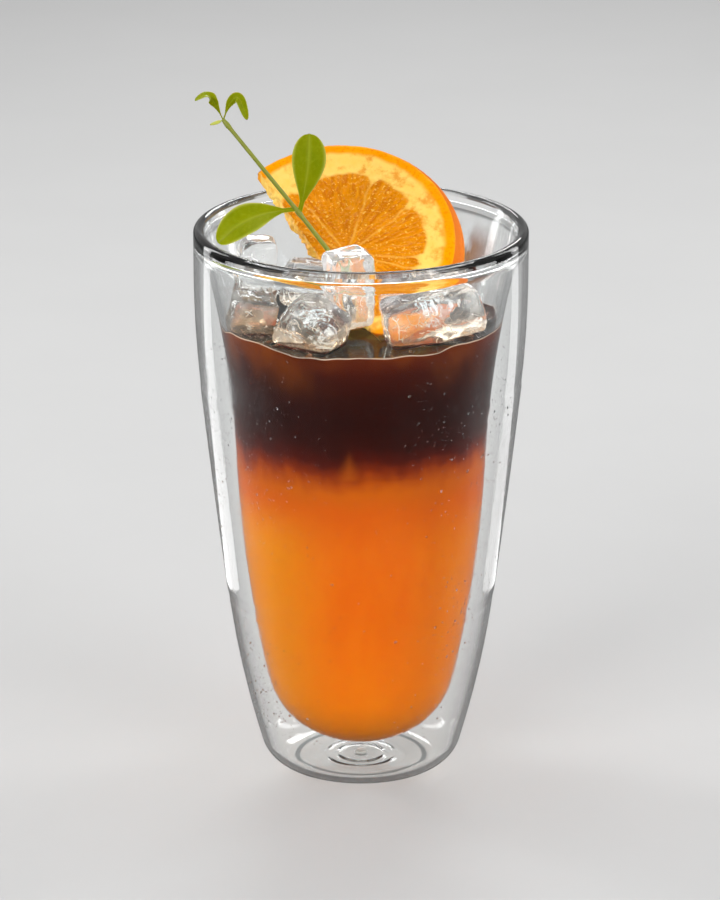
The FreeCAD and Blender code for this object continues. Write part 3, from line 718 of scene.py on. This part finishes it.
# a few bubbles that the pouring left, on the skin by the glass and between the blocks
BUBBLE_SPOTS = 46
bubble_finish, shader = finish_of("coffee_bubbles", Roughness=0.05, IOR=1.34, Transmission_Weight=0.85)
bubble_colour = layered(
    bubble_finish, srgb(190, 120, 70), (mottle(bubble_finish, 1.5), srgb(225, 180, 130))
)
plug(bubble_finish, shader.inputs["Base Color"], bubble_colour)
let_light_in(bubble_finish, shader.outputs["BSDF"], (0.8, 0.6, 0.45, 1))

bubble_vertices = []
bubble_faces = []
placed = 0
while placed < BUBBLE_SPOTS:
    angle = random_source.uniform(0, 2 * math.pi)
    radius = (edge - 0.9 - abs(random_source.gauss(0, 5))) * MM
    place = Vector((radius * math.cos(angle), radius * math.sin(angle), (LEVEL + 0.15) * MM))
    if min(tree.find_nearest(place)[3] for tree in wet_things) < 0.6 * MM:
        continue
    size = random_source.uniform(0.25, 0.75) * MM
    add_to(bubble_vertices, bubble_faces, *dome(place, size, 0.8, 8, 7))
    placed += 1
bubbles = add_piece("coffee_bubbles", bubble_vertices, bubble_faces, [bubble_finish])

# ---------------------------------------------------------------- the slice of orange
# A thick half slice, cut by hand off the middle of the fruit. Zest and pith ring the
# flesh, thin skins part its segments, and the torn cut side faces left.
FRONT_RADIUS = 33.0
BACK_RADIUS = 34.9
THICKNESS = 7.0
CUT_ANGLE = math.radians(-54)
CUT_OFFSET = 5.2           # from the disc's middle to the straight cut
SLICE_TURN = math.radians(-8)
SLICE_LEAN = math.radians(40)
CORE = (3.8, -3.0)
BACK_MIDDLE = (-6.6, 15.1, RIM - 13.5)    # it leans on the rear of the rim
FLESH_MIDDLE = (2.2, -1.3)
FLESH_RADIUS = 23.0
FLESH_TALL = 1.08          # the flesh is a little taller than it is wide
SKIN_ANGLES = (152, 129, 80, 46, -2, -12, -50, -96, -140, -175)
ZEST = 4.0
SACS = 1300
COLUMNS = 300
FACE_ROWS = 120
RIM_ROWS = 14
BACK_ROWS = 50
CUT_ROWS = 14

cut_along = np.array([math.cos(CUT_ANGLE), math.sin(CUT_ANGLE)])
cut_away = np.array([-math.sin(CUT_ANGLE), math.cos(CUT_ANGLE)])


def soft_step(value, low, high):
    """0 below low and 1 above high, eased between."""
    share = np.clip((value - low) / (high - low), 0, 1)
    return share * share * (3 - 2 * share)


def cloud(points, size_mm, seed):
    """Cloudy noise at many (x, y) points in mm, from -1 to 1."""
    """Cloudy noise at many (x, y) points in mm, from -1 to 1."""
    places = [Vector((x / size_mm + seed, y / size_mm - seed, seed)) for x, y in points]
    return np.array([noise.noise(place) for place in places])


def half_disc(radius, shares):
    """Points over the kept part of a disc: a row for each share from the cut to the peel."""
    reach = math.sqrt(radius ** 2 - CUT_OFFSET ** 2)
    start = -cut_away * CUT_OFFSET - cut_along * reach
    end = -cut_away * CUT_OFFSET + cut_along * reach
    first = math.atan2(start[1], start[0])
    last = math.atan2(end[1], end[0])
    if first < last:
        first += 2 * math.pi
    steps = np.linspace(0, 1, COLUMNS)
    chord = start[None] + (end - start)[None] * steps[:, None]
    angles = first + (last - first) * steps
    peel = np.stack([radius * np.cos(angles), radius * np.sin(angles)], 1)
    return [chord * (1 - share) + peel * share for share in shares]


rows = []                  # (in-plane points, height above the back face) for each row
face_rows = half_disc(FRONT_RADIUS, np.linspace(0, 1, FACE_ROWS) ** 0.9)
back_rows = half_disc(BACK_RADIUS, np.linspace(0, 1, BACK_ROWS))
for share in np.linspace(0, 1, CUT_ROWS, endpoint=False):
    rows.append((back_rows[0] * (1 - share) + face_rows[0] * share, THICKNESS * share, "cut"))
for points in face_rows[:-1]:
    rows.append((points, THICKNESS, "face"))
for share in np.linspace(0, 1, RIM_ROWS, endpoint=False):
    rows.append((face_rows[-1] * (1 - share) + back_rows[-1] * share, THICKNESS * (1 - share), "rim"))
for points in back_rows[:0:-1]:
    rows.append((points, 0.0, "back"))

sac_source = np.random.default_rng(5)
sac_turn = sac_source.uniform(0, 2 * math.pi, SACS)
sac_reach = np.sqrt(sac_source.uniform(0.02, 1.2, SACS)) * 24
sac_shade = sac_source.uniform(0, 1, SACS)

slice_points = []
masks = {"flesh": [], "zest": [], "peel": [], "skin": [], "sac": [], "sac_edge": [], "depth": []}
for points, lift, part in rows:
    x, y = points[:, 0], points[:, 1]
    out = np.hypot(x, y)
    wide = FRONT_RADIUS if part == "face" else BACK_RADIUS
    from_flesh = np.hypot(x - FLESH_MIDDLE[0], (y - FLESH_MIDDLE[1]) / FLESH_TALL) - FLESH_RADIUS
    from_flesh += 0.7 * cloud(points, 6, 3) + 0.3 * cloud(points, 2, 9)
    turn = np.arctan2(y - CORE[1], x - CORE[0])
    from_core = np.hypot(x - CORE[0], y - CORE[1])
    wander = 0.05 * cloud(points, 5, 21)
    apart = np.full(len(points), 99.0)
    for angle in SKIN_ANGLES:
        gap = np.abs((turn + wander - math.radians(angle) + math.pi) % (2 * math.pi) - math.pi)
        apart = np.minimum(apart, np.where(gap < 1.3, from_core * np.sin(np.minimum(gap, 1.3)), 99))
    in_flesh = 1 - soft_step(from_flesh, -0.9, 0.25)
    rounded = soft_step(-from_flesh, 0.0, 4.2)
    membrane = 1 - soft_step(apart, 0.08 + 1.3 * (1 - rounded) ** 2, 0.4 + 2.0 * (1 - rounded) ** 2)
    membrane *= 0.5 + 0.5 * (1 - rounded)
    membrane = np.maximum(membrane, 0.7 * (1 - soft_step(from_core, 0.5, 1.8)))
    flesh = in_flesh * (1 - membrane)
    # juice sacs: long cells that point at the core
    here_turn = turn[:, None] - sac_turn[None]
    here_turn = (here_turn + math.pi) % (2 * math.pi) - math.pi
    span = here_turn * np.minimum(from_core, 12)[:, None] * 1.9
    along = (from_core[:, None] - sac_reach[None]) / 4.6
    distance = np.hypot(span, along)
    order = np.argpartition(distance, 1, axis=1)[:, :2]
    two = np.take_along_axis(distance, order, 1)
    swap = two[:, 0] > two[:, 1]
    nearest = np.where(swap, order[:, 1], order[:, 0])
    edge_gap = np.abs(two[:, 1] - two[:, 0])
    sac_wall = 1 - soft_step(edge_gap, 0.02, 0.22)
    zest = soft_step(out + 0.5 * cloud(points, 3, 51), wide - ZEST, wide - ZEST + 1.6)
    if part == "rim":
        zest = np.ones(len(points))
        flesh = flesh * 0
    if part == "cut":
        zest = soft_step(out, BACK_RADIUS - 3.2, BACK_RADIUS - 1.6)
        flesh = flesh * 0.3
    if part in ("face", "back"):
        up = 1 if part == "face" else -1
        relief = flesh * (0.35 * (1 - sac_wall) - 0.28) + 0.25 * cloud(points, 7, 13)
        relief += (1 - flesh) * 0.16 * cloud(points, 2.2, 17)
        edge_drop = np.maximum(0, (out - (wide - 1.3)) / 1.3) ** 2 * 0.7
        cut_drop = np.exp(-np.maximum(points @ cut_away + CUT_OFFSET, 0) / 0.5) * 0.5
        height = lift + up * (relief - edge_drop - cut_drop)
        flat = points.copy()
    if part == "rim":
        bulge = 0.55 * math.sin(math.pi * lift / THICKNESS)
        height = np.full(len(points), 0.7 + (THICKNESS - 1.4) * lift / THICKNESS)
        pores = 0.10 * cloud(points + lift * 0.9, 0.9, 31)
        flat = points * ((out + bulge + pores - 0.15) / out)[:, None]
    if part == "cut":
        along_cut = points @ cut_along
        spots = np.stack([along_cut, np.full(len(points), lift)], 1)
        torn = 1.0 * cloud(spots, 3.2, 41) + 0.7 * cloud(spots, 1.3, 43)
        torn = torn * np.clip((FRONT_RADIUS - np.abs(along_cut)) / 5, 0, 1)
        flat = points - cut_away[None] * (torn + 0.2)[:, None]
        height = np.full(len(points), 0.45 + (THICKNESS - 0.9) * lift / THICKNESS)
    slice_points.append(np.column_stack([flat, height]))
    masks["flesh"].append(flesh)
    masks["zest"].append(zest)
    masks["peel"].append(np.full(len(points), 1.0 if part == "rim" else 0.0))
    masks["skin"].append(membrane * in_flesh)
    masks["depth"].append(1 - soft_step(-from_flesh, 0.5, 4.5))
    masks["sac"].append(sac_shade[nearest])
    masks["sac_edge"].append(sac_wall)

slice_faces = []
row_count = len(rows)
for row in range(row_count):
    other = (row + 1) % row_count
    for column in range(COLUMNS - 1):
        slice_faces.append((
            row * COLUMNS + column,
            other * COLUMNS + column,
            other * COLUMNS + column + 1,
            row * COLUMNS + column + 1,
        ))

lean = Matrix.Rotation(SLICE_TURN, 3, "Z") @ Matrix.Rotation(SLICE_LEAN, 3, "X")
leaned = np.concatenate(slice_points) @ np.array(lean).T + np.array(BACK_MIDDLE)

orange_finish, shader = finish_of(
    "fresh_orange",
    Subsurface_Weight=0.12,
    Subsurface_Scale=0.002,
    Subsurface_Radius=(1.0, 0.6, 0.2),
    Specular_Tint=(1, 0.62, 0.12, 1),
)
flesh_share = mask(orange_finish, "flesh")
between_sacs = times(orange_finish, mask(orange_finish, "sac_edge"), 0.35)
# painted highlights: pale specks on the flesh that stand in for glints on the juice sacs
painted_glints = spread(orange_finish, mottle(orange_finish, 0.9, 2), 0.60, 0.68, 0, 0.7)
flesh_colour = layered(
    orange_finish,
    srgb(196, 106, 1),
    (mask(orange_finish, "sac"), srgb(226, 138, 3)),
    (between_sacs, srgb(236, 160, 16)),
    (painted_glints, srgb(250, 196, 84)),
)
bruise = spread(orange_finish, mottle(orange_finish, 4.5, 5, (1, 1, 1), 0.65), 0.48, 0.68, 0, 0.85)
pith_colour = layered(
    orange_finish,
    srgb(246, 190, 74),
    (mottle(orange_finish, 3.5, 4), srgb(246, 212, 118)),
    (bruise, srgb(226, 142, 40)),
)
dark_pores = spread(orange_finish, mottle(orange_finish, 0.8, 2), 0.5, 0.7, 0, 0.5)
on_peel = times(orange_finish, mask(orange_finish, "peel"), 0.85)
zest_colour = layered(
    orange_finish,
    srgb(242, 168, 1),
    (mottle(orange_finish, 9, 3), srgb(234, 136, 1)),
    (dark_pores, srgb(226, 112, 2)),
    (on_peel, srgb(214, 100, 0)),
)
skin_colour = layered(orange_finish, srgb(232, 150, 28), (mask(orange_finish, "depth"), pith_colour))
orange_colour = layered(
    orange_finish,
    pith_colour,
    (mask(orange_finish, "skin"), skin_colour),
    (flesh_share, flesh_colour),
    (mask(orange_finish, "zest"), zest_colour),
)
plug(orange_finish, shader.inputs["Base Color"], orange_colour)
plug(orange_finish, shader.inputs["Roughness"], spread(orange_finish, flesh_share, 0, 1, 0.5, 0.2))
gleam = spread(orange_finish, flesh_share, 0, 1, 0.05, 0.3)
plug(orange_finish, shader.inputs["Specular IOR Level"], gleam)
raise_surface(orange_finish, shader, mottle(orange_finish, 0.75, 3), 0.12, 0.6)

orange_slice = add_piece("orange_half_slice", leaned * MM, slice_faces, [orange_finish])
for name, values in masks.items():
    store(orange_slice, name, np.concatenate(values).astype(np.float32))
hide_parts("orange_slice")

# ---------------------------------------------------------------- the sprig
# A cut shoot of a small-leaved herb: a slim stem that stands in the ice, two broad
# spoon-shaped leaves, two young ones curled at its tip, and the stub of a lost one.
STEM_RADIUS = 0.62
SPRIG_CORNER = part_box("leaf_sprig")[0] / MM
FACE_MIDDLE = SPRIG_CORNER + Vector((36.97, 21.91, 11.84))
STEM_PATH = (
    (9.92, -14.74, -12.55), (-0.6, -14.5, 1.2), (-9.4, -14.5, 12.9), (-20, -12.5, 25.9), (-29.6, -8.5, 37)
)
LEAF_COLUMNS = 19          # points across a leaf, on each of its faces
# each leaf's path from the middle of the slice's face, its width and thickness, how far
# along it is broadest, the way it faces, and how deep it folds
LEAF_SHAPES = {
    "upper": (((-9.3, -14.5, 12.7), (-8.0, -15, 18.5), (-6.8, -14.5, 26.5), (-6.5, -12.5, 34.2)),
              9.1, 0.5, 0.70, (0.1, -0.97, 0.2), 0.16),
    "left": (((-10.3, -14.5, 13.9), (-18.7, -16.5, 13.2), (-25.4, -18.5, 10.7), (-31.0, -19.5, 6.0)),
             9.6, 0.5, 0.58, (-0.3, -0.7, 0.65), 0.14),
    "tip": (((-29.5, -8.5, 36.9), (-31.7, -9.5, 41.9), (-33.8, -10.5, 44.1), (-36.9, -12, 43.1)),
            2.8, 0.45, 0.6, (-0.5, -0.45, 0.75), 0.3),
    "bent": (((-29.5, -8.5, 36.9), (-27.7, -8.5, 41.6), (-25.3, -9.1, 42.9), (-23.1, -10, 37.3)),
             2.8, 0.45, 0.55, (0.2, -0.8, 0.5), 0.3),
    "stub": (((-29.5, -8.5, 36.9), (-31.3, -9.5, 36.4), (-33, -10.5, 36.1)),
             1.0, 0.6, 0.4, (0, -0.7, 0.7), 0.0),
}


def curve_points(path, steps):
    """A smooth line through a path's points, in the frame, in mm."""
    turning = [FACE_MIDDLE + Vector(point) for point in path]
    lengths = [0.0]
    for first, second in zip(turning, turning[1:]):
        lengths.append(lengths[-1] + (second - first).length)
    ends = [turning[0] * 2 - turning[1]] + turning + [turning[-1] * 2 - turning[-2]]
    smooth = []
    for step in range(steps + 1):
        wanted = lengths[-1] * step / steps
        span = max(i for i in range(len(turning) - 1) if lengths[i] <= wanted + 1e-9)
        share = (wanted - lengths[span]) / (lengths[span + 1] - lengths[span])
        a, b, c, d = ends[span:span + 4]
        square, cube = share ** 2, share ** 3
        smooth.append(0.5 * (2 * b + (c - a) * share + (2 * a - 5 * b + 4 * c - d) * square
                             + (3 * b - a - 3 * c + d) * cube))
    return smooth


def sweep(line, facing, section):
    """Closed loops along a line. section(share) gives (across, out) pairs in mm."""
    vertices = []
    for step, centre in enumerate(line):
        before = line[max(step - 1, 0)]
        after = line[min(step + 1, len(line) - 1)]
        forward = (after - before).normalized()
        side = forward.cross(facing).normalized()
        normal = side.cross(forward).normalized()
        for across, out in section(step / (len(line) - 1)):
            vertices.append((centre + side * across + normal * out) * MM)
    count = len(vertices) // len(line)
    faces = []
    for step in range(len(line) - 1):
        for i in range(count):
            k = (i + 1) % count
            low, high = step * count, (step + 1) * count
            faces.append((low + i, low + k, high + k, high + i))
    faces.append(tuple(range(count - 1, -1, -1)))
    faces.append(tuple((len(line) - 1) * count + i for i in range(count)))
    return vertices, faces


def stem_section(share):
    """The stem's round section, a little thicker where leaves join it."""
    joints = sum(math.exp(-((share - at) / 0.018) ** 2) for at in (0.50, 0.97))
    radius = STEM_RADIUS * (1.08 - 0.22 * share + 0.35 * joints)
    turns = np.linspace(0, 2 * math.pi, 16, endpoint=False)
    return [(radius * math.cos(turn), radius * math.sin(turn)) for turn in turns]


def leaf_section(width, thickness, broadest, fold):
    """A leaf's section along its length: folded on its midrib, thin at its edges."""
    def section(share):
        if share < broadest:
            part = share / broadest
            half = max(width / 2 * part * part * (3 - 2 * part), width / 14)
        else:
            part = (share - broadest) / (1 - broadest)
            half = width / 2 * math.sqrt(max(1 - part ** 2, 0.0004))
        upper = []
        lower = []
        for across in np.linspace(-1, 1, LEAF_COLUMNS):
            sunk = -0.22 * math.exp(-(across / 0.07) ** 2) * min(1, half / 2)
            wave = 0.12 * math.sin(share * 9 + across * 2) * abs(across) * min(1, half / 3)
            rise = fold * half * (abs(across) ** 1.4) + wave
            deep = thickness / 2 * (1 - 0.75 * abs(across) ** 3) * min(1, 0.35 + half / width * 2)
            rib = 0.30 * math.exp(-(across / 0.12) ** 2) * min(1, half / 2)
            upper.append((across * half, rise + deep + sunk))
            lower.append((across * half, rise - deep - rib))
        return upper + lower[::-1]
    return section


leaf_finish, shader = finish_of(
    "green_leaf",
    Roughness=0.34,
    Subsurface_Weight=0.12,
    Subsurface_Scale=0.001,
    Specular_IOR_Level=0.15,
    Specular_Tint=(0.75, 0.85, 0.2, 1),
)
pale_flecks = spread(leaf_finish, mottle(leaf_finish, 0.9, 3), 0.45, 0.7, 0, 0.3)
leaf_colour = layered(
    leaf_finish,
    srgb(104, 118, 1),
    (mottle(leaf_finish, 6, 4), srgb(142, 148, 4)),
    (pale_flecks, srgb(142, 154, 24)),
    (times(leaf_finish, mask(leaf_finish, "rib"), 0.6), srgb(156, 164, 44)),
    (mask(leaf_finish, "margin"), srgb(190, 196, 92)),
)
plug(leaf_finish, shader.inputs["Base Color"], leaf_colour)
raise_surface(leaf_finish, shader, mottle(leaf_finish, 0.9, 3), 0.06, 0.5)

stem_finish, shader = finish_of(
    "green_stem", Roughness=0.42, Subsurface_Weight=0.1, Subsurface_Scale=0.001
)
stem_colour = layered(
    stem_finish, srgb(112, 120, 30), (mottle(stem_finish, 3, 4, (1, 1, 0.5)), srgb(146, 150, 40))
)
plug(stem_finish, shader.inputs["Base Color"], stem_colour)
raise_surface(stem_finish, shader, mottle(stem_finish, 0.6, 3, (1, 1, 0.3)), 0.05, 0.6)

sprig_vertices, sprig_faces = sweep(curve_points(STEM_PATH, 90), Vector((0, -1, 0.2)), stem_section)
sprig_finishes = [1] * len(sprig_faces)
margins = [0.0] * len(sprig_vertices)
ribs = [0.0] * len(sprig_vertices)
round_leaf = [*np.linspace(-1, 1, LEAF_COLUMNS), *np.linspace(1, -1, LEAF_COLUMNS)]
for name, (path, width, thickness, broadest, facing, fold) in LEAF_SHAPES.items():
    line = curve_points(path, 60)
    vertices, faces = sweep(line, Vector(facing), leaf_section(width, thickness, broadest, fold))
    add_to(sprig_vertices, sprig_faces, vertices, faces)
    sprig_finishes += [0] * len(faces)
    for step in range(len(line)):
        share = step / (len(line) - 1)
        for across in round_leaf:
            margins.append(1.0 if name == "stub" else 0.8 * max(0, (abs(across) - 0.86) / 0.14))
            veins = 0.35 * max(0, math.cos((share * 16 - abs(across) * 3) * math.pi)) ** 12
            ribs.append(max(math.exp(-(across / 0.09) ** 2), veins * (1 - abs(across))))
sprig = add_piece("herb_sprig", sprig_vertices, sprig_faces, [leaf_finish, stem_finish], sprig_finishes)
store(sprig, "margin", margins)
store(sprig, "rib", ribs)
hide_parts("leaf_sprig")

# ---------------------------------------------------------------- the dew
# Fine drops of water stand on the cold outer wall, densest in patches at the sides.
DROPS = 3400
dew_finish, shader = finish_of("dew", IOR=1.33, **SEE_THROUGH)
raise_surface(dew_finish, shader, mottle(dew_finish, 0.4), 0.01, 0.2)
let_light_in(dew_finish, shader.outputs["BSDF"], (0.96, 0.96, 0.96, 1))

dew_source = random.Random(23)
wall_heights = np.array([point[1] for point in outside])
wall_radii = np.array([point[0] for point in outside])
dew_vertices = []
dew_faces = []
placed = 0
while placed < DROPS:
    angle = dew_source.uniform(0, 2 * math.pi)
    height = dew_source.uniform(14, 128)
    thick = noise.noise(Vector((math.cos(angle) * 1.6, math.sin(angle) * 1.6, height / 38)))
    at_side = 0.12 + 0.88 * abs(math.cos(angle)) ** 1.5
    if dew_source.random() > (0.5 + thick * 1.2) * at_side:
        continue
    size = min(0.42, 0.14 * math.exp(dew_source.gauss(0, 0.45)))
    radius = float(np.interp(height, wall_heights, wall_radii))
    drop, faces = dome(Vector((0, 0, 0)), size, 0.45, 6, 4)
    stand = Matrix.Rotation(angle, 3, "Z") @ Matrix.Rotation(math.pi / 2, 3, "Y")
    centre = Vector((radius * math.cos(angle), radius * math.sin(angle), height))
    add_to(dew_vertices, dew_faces, [(centre + stand @ vertex) * MM for vertex in drop], faces)
    placed += 1
dew = add_piece("dew_drops", dew_vertices, dew_faces, [dew_finish])

# ---------------------------------------------------------------- the floor and the light
# A pale floor and surround, tall soft lamps behind at the sides, broad ones above and
# behind, two soft ones in front, and two low strips that only draw streaks in the walls.
PALE_SEEN = 0.50
PALE_FELT = 0.22           # how much light the floor throws back at the glass
MIRRORED_FLOOR = 0.05
DIM_IN_MIRROR = 0.2        # the share of its paleness that a reflection shows


def seen_share(surface):
    """1 where the eye sees a surface, also through glass, and less in a reflection."""
    path = add_node(surface, "ShaderNodeLightPath", {}).outputs
    seen = sums(surface, "MAXIMUM", path["Is Camera Ray"], path["Is Transmission Ray"])
    mirrored = sums(surface, "COMPARE", path["Glossy Depth"], 1)
    plain = sums(surface, "SUBTRACT", 1, mirrored)
    dim = times(surface, sums(surface, "MAXIMUM", seen, path["Is Glossy Ray"]), DIM_IN_MIRROR)
    return sums(surface, "MAXIMUM", times(surface, seen, plain), dim), mirrored


def grey(level):
    """A plain grey of that level."""
    return (level, level, level, 1)


floor_finish, shader = finish_of("pale_floor", Roughness=0.6, Specular_IOR_Level=0.2)
pale = blend_colours(
    floor_finish,
    mottle(floor_finish, 60, 4),
    (PALE_SEEN * 0.98, PALE_SEEN * 0.98, PALE_SEEN * 0.97, 1),
    (PALE_SEEN * 1.03, PALE_SEEN * 1.03, PALE_SEEN * 1.02, 1),
)
seen, mirrored = seen_share(floor_finish)
felt = blend_colours(floor_finish, mirrored, grey(PALE_FELT), grey(MIRRORED_FLOOR))
plug(floor_finish, shader.inputs["Base Color"], blend_colours(floor_finish, seen, felt, pale))
bpy.ops.mesh.primitive_circle_add(vertices=96, radius=8, fill_type="NGON", location=(0, 0, 0))
floor = bpy.context.object
floor.name = "floor"
floor.data.materials.append(floor_finish)

world = bpy.data.worlds.new("pale_surround")
bpy.context.scene.world = world
world.use_nodes = True
seen, mirrored = seen_share(world)
surround = layered(world, (0.44, 0.44, 0.45, 1), (mirrored, grey(0.5)), (seen, grey(0.55)))
plug(world, world.node_tree.nodes["Background"].inputs["Color"], surround)


def soft_lamp(name, place, target, width, height, watts):
    """A flat soft lamp that faces a point."""
    data = bpy.data.lights.new(name, "AREA")
    data.shape = "RECTANGLE"
    data.size = width
    data.size_y = height
    data.energy = watts
    lamp = bpy.data.objects.new(name, data)
    lamp.location = place
    lamp.rotation_euler = (Vector(target) - Vector(place)).to_track_quat("-Z", "Y").to_euler()
    bpy.context.scene.collection.objects.link(lamp)
    return lamp


MIDDLE = (0, 0, 0.09)
soft_lamp("left_strip", (-0.62, 0.42, 0.28), MIDDLE, 0.14, 0.75, 2.4)
soft_lamp("right_strip", (0.62, 0.42, 0.28), MIDDLE, 0.14, 0.75, 2.0)
soft_lamp("top_box", (-0.1, 0.25, 0.95), MIDDLE, 0.6, 0.5, 2.3)
soft_lamp("rear_box", (0.1, 0.95, 0.65), MIDDLE, 0.5, 0.25, 3.1)
soft_lamp("front_left", (-0.7, -0.9, 0.65), MIDDLE, 0.7, 0.7, 8.8)
soft_lamp("front_right", (0.9, -0.7, 0.5), MIDDLE, 0.7, 0.7, 6.1)

# two low strips, which show only as the long streaks that they leave in the walls
for name, across, watts in (("left_low", -0.25, 0.20), ("right_low", 0.25, 0.14)):
    low_strip = soft_lamp(name, (across, 0.166, 0.078), (0, 0, 1.4), 0.05, 0.46, watts)
    low_strip.visible_camera = False
    low_strip.visible_transmission = False

# ---------------------------------------------------------------- the camera
# A long lens, well above the rim and some way off, looking down on the glass. All of the
# drink is in focus.
LENS = 200.54
LENS_SHIFT = -1 / 900      # a hair to the side
LOOKS_DOWN = 18.62         # degrees
camera_data = bpy.data.cameras.new("camera")
camera_data.sensor_width = 36
camera_data.lens = LENS
camera_data.shift_x = LENS_SHIFT
camera_data.clip_start = 0.05
camera_data.clip_end = 50
camera = bpy.data.objects.new("camera", camera_data)
camera.location = (0, -1.2925, 0.5251)
camera.rotation_euler = (math.radians(90 - LOOKS_DOWN), 0, 0)
bpy.context.scene.collection.objects.link(camera)
bpy.context.scene.camera = camera

scene = bpy.context.scene
scene.view_settings.view_transform = "Standard"
scene.cycles.max_bounces = 24
scene.cycles.transmission_bounces = 24
scene.cycles.transparent_max_bounces = 24
